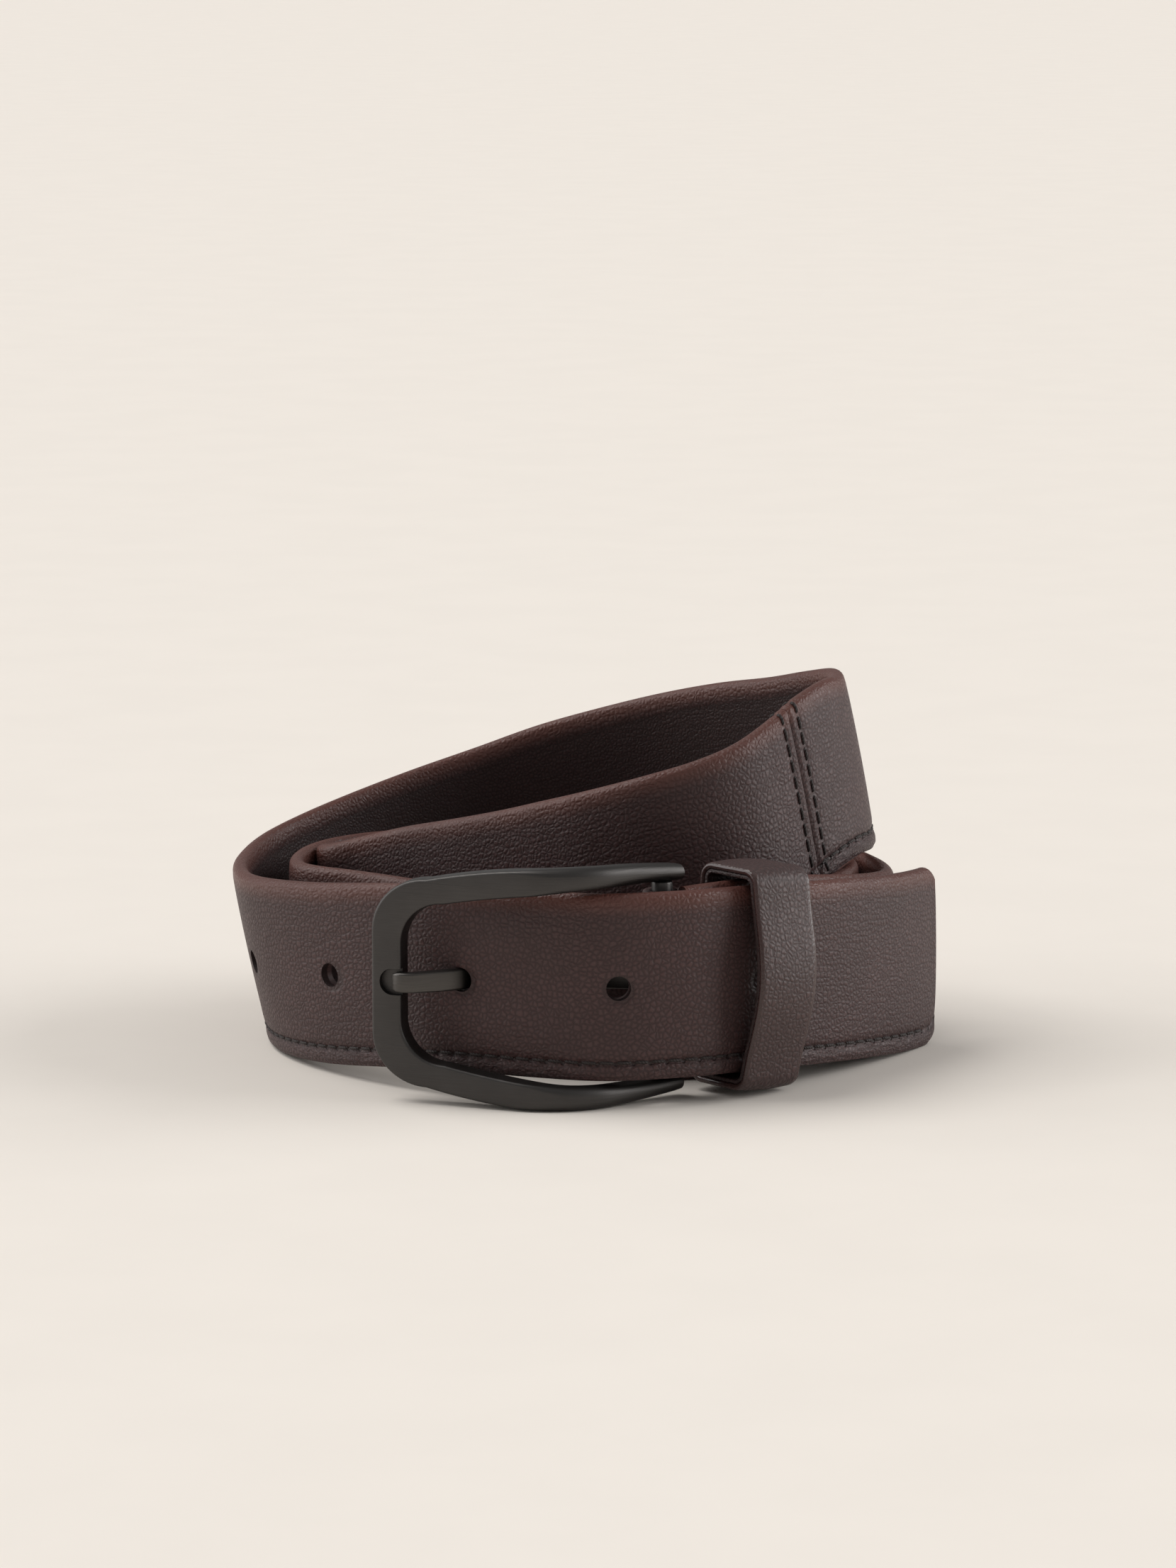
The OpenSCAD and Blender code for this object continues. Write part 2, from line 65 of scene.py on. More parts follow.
# Route of the strap's bottom edge from the heel of the buckle to the tip, in millimetres: x, y,
# share of the climb, share of the lift and lean in degrees. It's the same route as the frame's.
ROUTE = (
    (17.5, 8.1, 0, 1, 0), (24.2, 12.9, 0, 1, 0), (30.8, 18.8, 0, 0.95, 0),
    (38.2, 27, 0, 0.75, 0), (46.8, 37.6, 0, 0.4, 0), (53.2, 45.9, 0, 0.15, 0),
    (57.1, 53, 0, 0.03, 0), (57.4, 60.5, 0, 0, 0), (55.3, 69.3, 0, 0, 0), (51.2, 78.6, 0, 0, 0),
    (41.3, 89.3, 0, 0, 0), (27, 97.5, 0, 0, 0), (9, 102, 0, 0, 0), (-11, 103, 0, 0, 0),
    (-29, 101.2, 0, 0, 0), (-42, 96.6, 0, 0, 0), (-50, 90, 0, 0, 0), (-54.5, 82.3, 0, 0, 0),
    (-56.6, 74, 0, 0, 0), (-56.8, 66.8, 0, 0, 0), (-55.3, 61.3, 0, 0, 0), (-51.4, 57.4, 0, 0, 0),
    (-46.3, 54.2, 0, 0, 0), (-40.3, 49.8, 0, 0, 0), (-29, 40.8, 0, 0, 0), (-17, 32.5, 0, 0, 0),
    (-4, 27, 0, 0, 0), (9, 25, 0, 0, 0), (20, 26, 0, 0, 0), (28, 29.3, 0, 0, 0),
    (34.5, 33.5, 0, 0, 0), (39.5, 38, 0, 0, 0), (43.4, 43.3, 0, 0, 0), (47.8, 51, 0, 0, 0),
    (50.4, 58.7, 0, 0, 0), (51.1, 66, 0, 0, 0), (48.9, 73.6, 0, 0, 0), (43.8, 80.4, 0, 0, 0),
    (35.2, 87, 0, 0, 0), (22.6, 93.2, 0, 0, 0), (7, 96.4, 0, 0, 0), (-11, 97, 0, 0, 0),
    (-27, 94.7, 0, 0, 0), (-37.3, 91.6, 0, 0, 0), (-43.8, 88.9, 0, 0, 0), (-48.4, 85.3, 0, 0, 0),
    (-50.9, 80.6, 0.01, 0, 2), (-48.8, 76.4, 0.03, 0, 3), (-41.5, 73.2, 0.09, 0, 4.5),
    (-31, 66.8, 0.18, 0, 7), (-20.5, 58.5, 0.265, 0, 9), (-10.3, 51.3, 0.35, 0, 11),
    (-1.3, 45, 0.435, 0, 12), (7, 40.2, 0.51, 0, 13), (18.5, 36.4, 0.61, 0, 13),
    (28, 37.2, 0.685, 0, 13), (35.2, 40.8, 0.755, 0, 12.5), (41, 46.8, 0.84, 0, 12),
    (46.3, 53.8, 0.94, 0, 11.5), (51.5, 61.8, 1, 0, 11), (54.7, 70, 1, 0, 11),
    (54.6, 79, 1, 0, 11.5), (50.6, 88.5, 0.95, 0, 12.5), (44, 98, 0.88, 0, 13.5),
    (34.8, 107.3, 0.815, 0, 14.5), (24, 114.8, 0.73, 0, 15), (12, 119.5, 0.63, 0, 15),
    (-1, 121.6, 0.52, 0, 15), (-14, 120.6, 0.395, 0, 15), (-27, 115.6, 0.29, 0, 14.5),
    (-39, 108, 0.195, 0, 14), (-49.3, 98.7, 0.115, 0, 13), (-56.6, 88.3, 0.055, 0, 12.5),
    (-60.2, 76, 0.02, 0, 12), (-61, 63.5, 0.01, 0, 11.5), (-59, 51, 0.005, 0.06, 11),
    (-54.4, 40, 0, 0.22, 9), (-47, 29.5, 0, 0.42, 6), (-37, 19.6, 0, 0.72, 2.5),
    (-24, 10.6, 0, 0.96, 0.5), (-11, 4.4, 0, 1, 0), (3, 0.8, 0, 1, 0), (17.5, 4, 0, 1, 0),
    (26.7, 9.8, 0, 0.93, 0), (33.7, 15.7, 0, 0.82, 0), (41, 22.6, 0, 0.67, 0),
    (49.5, 32.4, 0, 0.45, 0), (57.2, 43.2, 0, 0.2, 0), (62.3, 51.6, 0, 0.06, 0),
    (66.3, 59.2, 0, 0, 0),
)
STATIONS = [(x, y, c * CLIMB + l * LIFT, lean) for x, y, c, l, lean in ROUTE]
LAST = len(STATIONS) - 1
U_JOIN = 57.6
U_KEEPER = 83.65
TIP_TO_HOLE = 58.0
HOLE_PITCH = 29.4
HOLE_D = 4.6
HOLE_COUNT = 5
BAR_R = 2.0
BAR_CLEAR = 0.08
LEAF_T = 1.6
LOOP_IN = BAR_R + BAR_CLEAR
LOOP_OUT = LOOP_IN + LEAF_T
BAR_BACK = 2.6
PRONG_H = 4.0
PRONG_T = 1.9


# ---------------------------------------------------------------- the strap's route


def spline(a, b, c, d, t):
    return tuple(
        q + t / 2 * ((r - p) + t * ((2 * p - 5 * q + 4 * r - s) + t * (3 * (q - r) + s - p)))
        for p, q, r, s in zip(a, b, c, d)
    )


def station(u):
    """Place and lean of the bottom edge at a station number, in millimetres and degrees."""
    i = min(LAST - 1, int(math.floor(u)))
    b, c = STATIONS[i], STATIONS[i + 1]
    a = STATIONS[i - 1] if i > 0 else tuple(2 * p - q for p, q in zip(b, c))
    d = STATIONS[i + 2] if i + 2 <= LAST else tuple(2 * q - p for p, q in zip(b, c))
    return spline(a, b, c, d, u - i)


def edge_point(u):
    x, y, z, _ = station(u)
    return Vector((x, y, max(0.0, z)))


def axes_at(u):
    """Bottom edge point, outward direction, rise up the face and direction along the strap."""
    lean = math.radians(station(u)[3])
    rise = Vector((-math.sin(lean), 0, math.cos(lean)))
    run = (edge_point(min(LAST, u + 0.01)) - edge_point(max(0, u - 0.01))).normalized()
    return edge_point(u), run.cross(rise).normalized(), rise, run


def hole_middle(u):
    """Middle of a prong hole, square to the strap's run, and its outward direction."""
    at, out, rise, run = axes_at(u)
    return at + run.cross(-out) * (STRAP_W / 2), out, run


def set_down(p):
    """A point of the route in the frame's own place, in metres."""
    return Vector(((p[0] - ROUTE_MID[0]) * MM, (p[1] - ROUTE_MID[1]) * MM, p[2] * MM))


STEP = 0.02
KNOTS = [i * STEP for i in range(int(LAST / STEP) + 1)]
LENGTHS = [0.0]
for _u in KNOTS[1:]:
    LENGTHS.append(LENGTHS[-1] + (edge_point(_u) - edge_point(_u - STEP)).length)
TOTAL = LENGTHS[-1]


def length_at(u):
    i = min(len(KNOTS) - 2, int(u / STEP))
    return LENGTHS[i] + (LENGTHS[i + 1] - LENGTHS[i]) * (u / STEP - i)


def place_at(length):
    """Station number at a length from the heel end."""
    i = min(len(KNOTS) - 1, max(1, bisect_left(LENGTHS, length)))
    share = (length - LENGTHS[i - 1]) / (LENGTHS[i] - LENGTHS[i - 1])
    return KNOTS[i - 1] + share * STEP


L_JOIN = length_at(U_JOIN)
L_HOLES = [TOTAL - TIP_TO_HOLE - i * HOLE_PITCH for i in range(HOLE_COUNT)]


def smooth(low, high, x):
    t = min(1.0, max(0.0, (x - low) / (high - low)))
    return t * t * (3 - 2 * t)


def bump_at(x, middle, width):
    return math.exp(-(((x - middle) / width) ** 2))


# ---------------------------------------------------------------- mesh helpers


def deselect():
    if bpy.context.object and bpy.context.object.mode != "OBJECT":
        bpy.ops.object.mode_set(mode="OBJECT")
    bpy.ops.object.select_all(action="DESELECT")


def pick(obj):
    deselect()
    obj.select_set(True)
    bpy.context.view_layer.objects.active = obj


def lay_grid(name, rings, along, around, loop=False, angle=50.0):
    """A primitive grid laid over rings of points, closed round each ring, and either capped at
    its ends or closed into a loop. The UV map holds metres along and metres around."""
    m, n = len(rings), len(rings[0])
    deselect()
    bpy.ops.mesh.primitive_grid_add(x_subdivisions=m - 1, y_subdivisions=n, size=1.0)
    obj = bpy.context.object
    obj.name = name
    obj.data.name = name
    if len(obj.data.vertices) != m * (n + 1):
        raise RuntimeError(f"{name}: the grid has {len(obj.data.vertices)} vertices")
    where = []
    for v in obj.data.vertices:
        i = round((v.co.x + 0.5) * (m - 1))
        j = round((v.co.y + 0.5) * n)
        where.append((i, j))
    for v, (i, j) in zip(obj.data.vertices, where):
        v.co = rings[i][j % n]
    uv = obj.data.uv_layers.active.data
    for corner in obj.data.loops:
        i, j = where[corner.vertex_index]
        uv[corner.index].uv = (along[i], around[j])
    bpy.ops.object.mode_set(mode="EDIT")
    bpy.ops.mesh.select_all(action="SELECT")
    bpy.ops.mesh.remove_doubles(threshold=1e-7)
    if not loop:
        bpy.ops.mesh.select_all(action="DESELECT")
        bpy.ops.mesh.select_non_manifold(extend=False, use_wire=False, use_multi_face=False)
        bpy.ops.mesh.fill_holes(sides=0)
    bpy.ops.mesh.select_all(action="SELECT")
    bpy.ops.mesh.normals_make_consistent(inside=False)
    bpy.ops.object.mode_set(mode="OBJECT")
    bpy.ops.object.shade_smooth_by_angle(angle=math.radians(angle))
    return obj


def around_lengths(ring):
    """Distance round a ring to each of its points, in metres, back to the first."""
    out = [0.0]
    for j in range(len(ring)):
        out.append(out[-1] + (ring[(j + 1) % len(ring)] - ring[j]).length)
    return out


def tube(name, path, sides, across, loop=False, angle=60.0):
    """A thread or wire: points with two axes across it, and its half widths at each."""
    rings, along = [], [0.0]
    for k, (p, a, b) in enumerate(path):
        ha, hb = across(k)
        rings.append([
            p + a * (ha * math.cos(math.tau * j / sides)) + b * (hb * math.sin(math.tau * j / sides))
            for j in range(sides)
        ])
        if k:
            along.append(along[-1] + (p - path[k - 1][0]).length)
    return lay_grid(name, rings, along, around_lengths(rings[len(rings) // 2]), loop, angle)


def join(name, pieces):
    pick(pieces[0])
    for p in pieces:
        p.select_set(True)
    bpy.ops.object.join()
    obj = bpy.context.object
    obj.name = name
    obj.data.name = name
    return obj


def carve(obj, tools, operation="DIFFERENCE"):
    """Cuts the tools out of a piece, or adds them to it, and removes them."""
    tool = join("tool", tools) if len(tools) > 1 else tools[0]
    pick(obj)
    m = obj.modifiers.new("carve", "BOOLEAN")
    m.operation = operation
    m.solver = "EXACT"
    m.object = tool
    bpy.ops.object.modifier_apply(modifier=m.name)
    bpy.data.objects.remove(tool)
    return obj


def finish_piece(obj, material, body, slot, *nodes):
    obj.data.materials.clear()
    obj.data.materials.append(material)
    for face in obj.data.polygons:
        face.material_index = 0
    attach(obj, body)
    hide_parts(*nodes)
    return obj


# ---------------------------------------------------------------- shader helpers


class Value:
    """A shader socket that takes part in arithmetic: each operation adds a Math node."""

    def __init__(self, paint, socket):
        self.paint = paint
        self.socket = socket

    def _math(self, operation, *values, clamp=False):
        return self.paint.node(
            "ShaderNodeMath", {"operation": operation, "use_clamp": clamp}, dict(enumerate(values)))

    def __add__(self, other):
        return self._math("ADD", self, other)

    __radd__ = __add__

    def __mul__(self, other):
        return self._math("MULTIPLY", self, other)

    __rmul__ = __mul__

    def __sub__(self, other):
        return self._math("SUBTRACT", self, other)

    def __rsub__(self, other):
        return self._math("SUBTRACT", other, self)

    def __truediv__(self, other):
        return self._math("DIVIDE", self, other)

    def __pow__(self, other):
        return self._math("POWER", self, other)

    def absolute(self):
        return self._math("ABSOLUTE", self)

    def lowest(self, other):
        return self._math("MINIMUM", self, other)

    def highest(self, other):
        return self._math("MAXIMUM", self, other)

    def wrapped(self, low, high):
        return self._math("WRAP", self, high, low)

    def step(self, low, high):
        """0 below low, 1 above high, smooth between."""
        return self.paint.node(
            "ShaderNodeMapRange", {"interpolation_type": "SMOOTHSTEP"},
            {"Value": self, "From Min": low, "From Max": high, "To Min": 0.0, "To Max": 1.0})


class Paint:
    """Builds one material."""

    def __init__(self, name, metallic=0.0, specular=0.5):
        self.material = bpy.data.materials.new(name)
        self.material.use_nodes = True
        self.tree = self.material.node_tree
        self.shader = self.tree.nodes["Principled BSDF"]
        self.shader.inputs["Metallic"].default_value = metallic
        self.shader.inputs["Specular IOR Level"].default_value = specular

    def node(self, kind, settings=None, inputs=None, out=0):
        n = self.tree.nodes.new(kind)
        for key, value in (settings or {}).items():
            if key == "stops":
                for k, (position, colour) in enumerate(value):
                    element = n.color_ramp.elements[k] if k < 2 else n.color_ramp.elements.new(position)
                    element.position = position
                    element.color = (*colour, 1.0)
            else:
                setattr(n, key, value)
        for key, value in (inputs or {}).items():
            if isinstance(value, Value):
                self.tree.links.new(value.socket, n.inputs[key])
            elif isinstance(value, (tuple, list)) and len(value) == 3 and n.inputs[key].type == "RGBA":
                n.inputs[key].default_value = (*value, 1.0)
            else:
                n.inputs[key].default_value = value
        return Value(self, n.outputs[out])

    def uv(self):
        return self.node("ShaderNodeUVMap")

    def place(self):
        return self.node("ShaderNodeTexCoord", out=3)

    def stretched(self, vector, scale):
        return self.node("ShaderNodeVectorMath", {"operation": "MULTIPLY"}, {0: vector, 1: scale})

    def part(self, vector, index):
        return self.node("ShaderNodeSeparateXYZ", inputs={0: vector}, out=index)

    def noise(self, vector, scale, detail=3.0, roughness=0.55, distortion=0.0):
        return self.node("ShaderNodeTexNoise", {"noise_dimensions": "3D"}, {
            "Vector": vector, "Scale": scale, "Detail": detail, "Roughness": roughness,
            "Distortion": distortion})

    def warp(self, vector, scale, amount):
        colour = self.node("ShaderNodeTexNoise", inputs={
            "Vector": vector, "Scale": scale, "Detail": 2.0}, out=1)
        centred = self.node("ShaderNodeVectorMath", {"operation": "SUBTRACT"},
                            {0: colour, 1: (0.5, 0.5, 0.5)})
        small = self.node("ShaderNodeVectorMath", {"operation": "SCALE"}, {0: centred, "Scale": amount})
        return self.node("ShaderNodeVectorMath", {"operation": "ADD"}, {0: vector, 1: small})

    def cells(self, vector, scale, feature="DISTANCE_TO_EDGE", out=0):
        return self.node("ShaderNodeTexVoronoi", {"feature": feature, "voronoi_dimensions": "2D"},
                         {"Vector": vector, "Scale": scale}, out)

    def blend(self, factor, a, b, kind="MIX"):
        return self.node("ShaderNodeMix", {"data_type": "RGBA", "blend_type": kind},
                         {0: factor, 6: self._colour(a), 7: self._colour(b)}, 2)

    @staticmethod
    def _colour(c):
        return c if isinstance(c, Value) else (*c, 1.0)

    def finish(self, colour, roughness, height=None):
        for name, value in (("Base Color", colour), ("Roughness", roughness)):
            if isinstance(value, Value):
                self.tree.links.new(value.socket, self.shader.inputs[name])
            elif name == "Base Color":
                self.shader.inputs[name].default_value = (*value, 1.0)
            else:
                self.shader.inputs[name].default_value = value
        if height is not None:
            bump = self.node("ShaderNodeBump", {}, {"Strength": 1.0, "Distance": 1.0, "Height": height})
            self.tree.links.new(bump.socket, self.shader.inputs["Normal"])
        return self.material


def grained_leather(name, tone, grain, depth, fold=None, edge=None, holes=(), seam=None, pitch=None,
                    sheen=0.36):
    """Pebbled leather on a piece's own map, in metres: u along the strap and v round it. The
    fold is (v, v, colour) of the lighter top fold, partly burnished by wear and partly a painted
    highlight, and the seam is its height and its pitch."""
    p = Paint(name, specular=sheen)
    uv = p.uv()
    warped = p.warp(uv, 0.9 / grain, grain * 0.55)
    pebble = p.cells(warped, 1.0 / grain)
    rounded = pebble.step(0.0, 0.42)
    size = p.noise(uv, 0.35 / grain, 2.0)
    fine = p.noise(uv, 5.5 / grain, 2.0)
    cloud = p.noise(uv, 45.0, 3.0)
    crease = p.noise(p.stretched(uv, (1.0, 3.0, 1.0)), 330.0, 4.0, 0.6, 0.4).step(0.38, 0.62)
    u, v = p.part(uv, 0), p.part(uv, 1)
    height = rounded * (size * 0.9 + 0.35) * depth + fine * (depth * 0.22) + crease * (depth * 0.55)
    # Darker tone used as painted shade, in the grain's valleys and in the pressed rings round the holes
    painted_shade_tone = tuple(c * 0.52 for c in tone)
    light = tuple(c * 1.35 for c in tone)
    colour = p.blend(cloud.step(0.3, 0.7), tone, light)
    # Painted shade: the valleys between the pebbles are darkened
    colour = p.blend((1 - rounded) * 0.75, colour, painted_shade_tone)
    rough = 0.52 - rounded * 0.13 + fine * 0.10
    if fold:
        low, high, tint, shine = fold
        # The top fold is lightened towards the fold colour: partly burnished by wear, partly a painted
        # highlight where the light falls on it
        mask = v.step(low[0], low[1]) * (1 - v.step(high[0], high[1]))
        worn_and_lit = (mask * (cloud * 0.8 + 0.45)).lowest(1.0)
        colour = p.blend(worn_and_lit, colour, tint)
        rough = rough - worn_and_lit * shine
    if edge:
        low, high, tint = edge
        outside = (1 - v.step(low[0], low[1])).highest(v.step(high[0], high[1]))
        colour = p.blend(outside, colour, tint)
        rough = rough - outside * 0.30
        height = height * (1 - outside * 0.85)
    if seam:
        # Needle holes at the ends of the stitches, pressed in, and darkened as painted shade in each
        # hole
        du = (u / pitch).wrapped(-0.5, 0.5) * pitch
        dv = v - seam
        near = (du * du + dv * dv) ** 0.5
        hole = 1 - near.step(0.00022, 0.00055)
        pull = 1 - near.step(0.0002, 0.0013)
        colour = p.blend(hole * 0.85, colour, tuple(c * 0.25 for c in tone))
        height = height - hole * 0.00025 - pull * 0.00012
        hem = 1 - v.step(seam - 0.0006, seam - 0.0001)
        height = height + hem * crease * (depth * 1.1)
    if holes:
        rim = None
        for at in holes:
            du = u - at
            dv = v - (STRAP_W / 2) * MM
            near = (du * du + dv * dv) ** 0.5
            rim = near if rim is None else rim.lowest(near)
        pressed = 1 - rim.step(HOLE_D / 2 * MM, HOLE_D / 2 * MM + 0.0009)
        height = height - pressed * 0.00018
        # Painted shade: the pressed ring round each hole is darkened as well as lowered
        colour = p.blend(pressed * 0.7, colour, painted_shade_tone)
    return p.finish(colour, rough, height)


def cut_edge_leather(name, tone):
    """Painted cut edge of the filler, with a faint line of its fibres."""
    p = Paint(name, specular=0.45)
    at = p.place()
    fibre = p.noise(p.stretched(at, (400.0, 400.0, 2600.0)), 1.0, 4.0, 0.65)
    blotch = p.noise(at, 160.0, 3.0)
    colour = p.blend(fibre.step(0.35, 0.7), tone, tuple(c * 1.9 for c in tone))
    colour = p.blend(blotch.step(0.45, 0.7) * 0.5, colour, tuple(c * 0.6 for c in tone))
    return p.finish(colour, 0.46 + fibre * 0.18, fibre * 0.00006)


def waxed_thread(name, tone, ply):
    """Twisted thread: slanting plies round each stitch, with a little fluff."""
    p = Paint(name, specular=0.4)
    uv = p.uv()
    u, v = p.part(uv, 0), p.part(uv, 1)
    turn = ((u + v * 0.7) / ply).wrapped(-0.5, 0.5).absolute()
    fluff = p.noise(uv, 2500.0, 3.0)
    # Painted shade: the grooves between the plies are darkened, as well as lowered in the bump
    colour = p.blend(turn.step(0.28, 0.5), tone, tuple(c * 0.4 for c in tone))
    colour = p.blend(fluff.step(0.5, 0.8) * 0.4, colour, tuple(min(1, c * 1.8) for c in tone))
    return p.finish(colour, 0.55 + fluff * 0.2, fluff * 0.00003 - turn * 0.00016)


def brushed_metal(name, tone, rough, along=(90.0, 90.0, 5200.0), worn_and_lit=None):
    """Plated metal brushed in one direction, with slight cloudiness and, when given places, bright
    edges: partly plating rubbed bright by wear, partly a painted highlight.
    """
    p = Paint(name, metallic=1.0)
    at = p.place()
    hair = p.noise(p.stretched(at, along), 1.0, 4.0, 0.7)
    scratch = p.noise(p.stretched(at, tuple(c * 0.35 for c in along)), 1.0, 2.0, 0.5).step(0.56, 0.75)
    cloud = p.noise(at, 70.0, 3.0)
    colour = p.blend(cloud.step(0.3, 0.75), tone, tuple(min(1, c * 1.18) for c in tone))
    colour = p.blend((hair * 0.65).lowest(0.5), colour, tuple(c * 0.72 for c in tone))
    value = rough + hair * 0.16 - scratch * 0.05 + cloud * 0.05
    if worn_and_lit:
        v = p.part(p.uv(), 1)
        width, places = worn_and_lit
        near = None
        for place in places:
            d = (v - place).absolute()
            near = d if near is None else near.lowest(d)
        # Bright edges: partly plating rubbed bright by wear, partly a painted highlight on the bevels
        rub_and_glint = (1 - near.step(0.0, width)) * cloud.step(0.25, 0.6)
        colour = p.blend(rub_and_glint * 0.55, colour, tuple(min(1, c * 1.9) for c in tone))
        value = value - rub_and_glint * 0.1
    return p.finish(colour, value, hair * 0.000022 + scratch * 0.000012)


# ---------------------------------------------------------------- settings


class BeltStrapSettings(bpy.types.PropertyGroup):
    leather: bpy.props.FloatVectorProperty(
        name="Leather", description="Colour of the facing leather", subtype="COLOR", size=3,
        min=0.0, max=1.0, default=(0.052, 0.0250, 0.0242))
    lining: bpy.props.FloatVectorProperty(
        name="Lining", description="Colour of the lining leather", subtype="COLOR", size=3,
        min=0.0, max=1.0, default=(0.031, 0.0150, 0.0145))
    # Lighter colour of the top fold: partly burnished by wear, partly a painted highlight
    burnish_and_highlight: bpy.props.FloatVectorProperty(
        name="Burnish", description="Colour of the burnished top fold", subtype="COLOR", size=3,
        min=0.0, max=1.0, default=(0.100, 0.036, 0.027))
    grain: bpy.props.FloatProperty(
        name="Grain", description="Width of one pebble of the grain", unit="LENGTH", default=0.00100)
    relief: bpy.props.FloatProperty(
        name="Relief", description="Height of the grain", unit="LENGTH", default=0.00009)
    crown: bpy.props.FloatProperty(
        name="Crown", description="Swell of the padded face above its seam", unit="LENGTH",
        default=0.00034)
    ring_gap: bpy.props.FloatProperty(
        name="Ring gap", description="Spacing of the mesh along the strap", unit="LENGTH",
        default=0.0014)


class BeltSewingSettings(bpy.types.PropertyGroup):
    pitch: bpy.props.FloatProperty(
        name="Pitch", description="Length of one stitch", unit="LENGTH", default=0.00314)
    thread: bpy.props.FloatProperty(
        name="Thread", description="Width of the sewing thread", unit="LENGTH", default=0.0006)
    tonal: bpy.props.FloatVectorProperty(
        name="Tonal thread", description="Colour of the strap's thread", subtype="COLOR", size=3,
        min=0.0, max=1.0, default=(0.020, 0.0125, 0.0115))
    tan: bpy.props.FloatVectorProperty(
        name="Tan thread", description="Colour of the thread at the buckle's fold", subtype="COLOR",
        size=3, min=0.0, max=1.0, default=(0.30, 0.19, 0.12))


class BeltKeeperSettings(bpy.types.PropertyGroup):
    width: bpy.props.FloatProperty(
        name="Width", description="Width of the keeper along the strap", unit="LENGTH",
        default=0.014)
    puff: bpy.props.FloatProperty(
        name="Puff", description="How far the keeper's front bows outwards", unit="LENGTH",
        default=0.0035)
    leather: bpy.props.FloatVectorProperty(
        name="Leather", description="Colour of the keeper's leather", subtype="COLOR", size=3,
        min=0.0, max=1.0, default=(0.048, 0.0240, 0.0225))


class BeltBuckleSettings(bpy.types.PropertyGroup):
    metal: bpy.props.FloatVectorProperty(
        name="Metal", description="Colour of the plated frame", subtype="COLOR", size=3,
        min=0.0, max=1.0, default=(0.072, 0.068, 0.066))
    prong_metal: bpy.props.FloatVectorProperty(
        name="Prong metal", description="Colour of the plated prong", subtype="COLOR", size=3,
        min=0.0, max=1.0, default=(0.092, 0.086, 0.081))
    edge: bpy.props.FloatProperty(
        name="Edge", description="Radius of the flat face's edges", unit="LENGTH", default=0.0006)
    arm_edge: bpy.props.FloatProperty(
        name="Arm edge", description="Radius of the arms' edges", unit="LENGTH", default=0.0017)


class BeltStageSettings(bpy.types.PropertyGroup):
    floor: bpy.props.FloatVectorProperty(
        name="Floor", description="Colour of the floor", subtype="COLOR", size=3,
        min=0.0, max=1.0, default=(0.80, 0.748, 0.69))
    key: bpy.props.FloatProperty(
        name="Key light", description="Strength of the soft main light", default=1.50)
    side: bpy.props.FloatProperty(
        name="Side light", description="Strength of the lights from both sides", default=2.3)
    fill: bpy.props.FloatProperty(
        name="Fill light", description="Strength of the light from all round", default=0.33)


# ---------------------------------------------------------------- strap


TOP_H = STRAP_W - HALF_T
TURN_H = STRAP_W - TURN_DOWN
FACE_IN = HALF_T - FACING_T
LINE_IN = -HALF_T + LINING_T
TURN_IN = -HALF_T + FACING_T


def trimmed(w, length):
    """Height on the face, drawn in at both edges where the tip's corners are rounded."""
    d = TOTAL - length
    if d >= TIP_CORNER:
        return w
    cut = TIP_CORNER - math.sqrt(max(0.0, TIP_CORNER**2 - (TIP_CORNER - d) ** 2))
    return cut + w * (1 - 2 * cut / STRAP_W)


def pulled_in(length):
    """How far the faces dip towards the join's butt line and its two rows of stitches."""
    d = abs(length - L_JOIN)
    return 0.42 * bump_at(d, 0, 0.5) + 0.26 * bump_at(d, 2.3, 0.8)


def bulge(length, w):
    """Swell of the strap through the buckle's window, and its soft unevenness elsewhere."""
    window = bump_at(length, L_HOLES[2] + 9, 13) * (bump_at(w, 27, 6) * 1.0 + bump_at(w, 10, 5) * 0.35)
    uneven = 0.10 * math.sin(length / 17.0) * math.sin(w / 9.0 + length / 31.0)
    return window + uneven


def front_v(length, w, crown):
    """Distance of the outer face from the middle of the strap."""
    swell = crown * math.sin(math.pi * min(1.0, max(0.0, (w - SEAM_H) / (TOP_H - SEAM_H)))) ** 0.55
    groove = 0.30 * bump_at(w, SEAM_H, 0.75)
    hem = 0.16 * bump_at(w, SEAM_H / 2 - 0.1, 0.9)
    base = HALF_T - 0.45 * (1 - smooth(0.0, 0.7, w))
    return base + swell - groove + hem + bulge(length, w) * smooth(SEAM_H, 8, w) - pulled_in(length)


def back_v(length, w):
    """Distance of the lining's face behind the middle of the strap."""
    groove = 0.22 * bump_at(w, SEAM_H, 0.7)
    base = HALF_T - 0.35 * (1 - smooth(0.0, 0.6, w))
    return -(base + 0.10 * math.sin(math.pi * w / TURN_H) - groove - 0.6 * pulled_in(length))


FACE_HEIGHTS = (0.0, 0.25, 0.7, 1.2, 1.7, 2.2, 2.6, 2.95, 3.2, 3.45, 3.7, 4.0, 4.5, 5.2, 6.2, 7.6, 9.2,
                11.0, 13.0, 15.0, 17.0, 19.0, 21.0, 23.0, 25.0, 27.0, 28.8, 30.4, 31.6, 32.6)


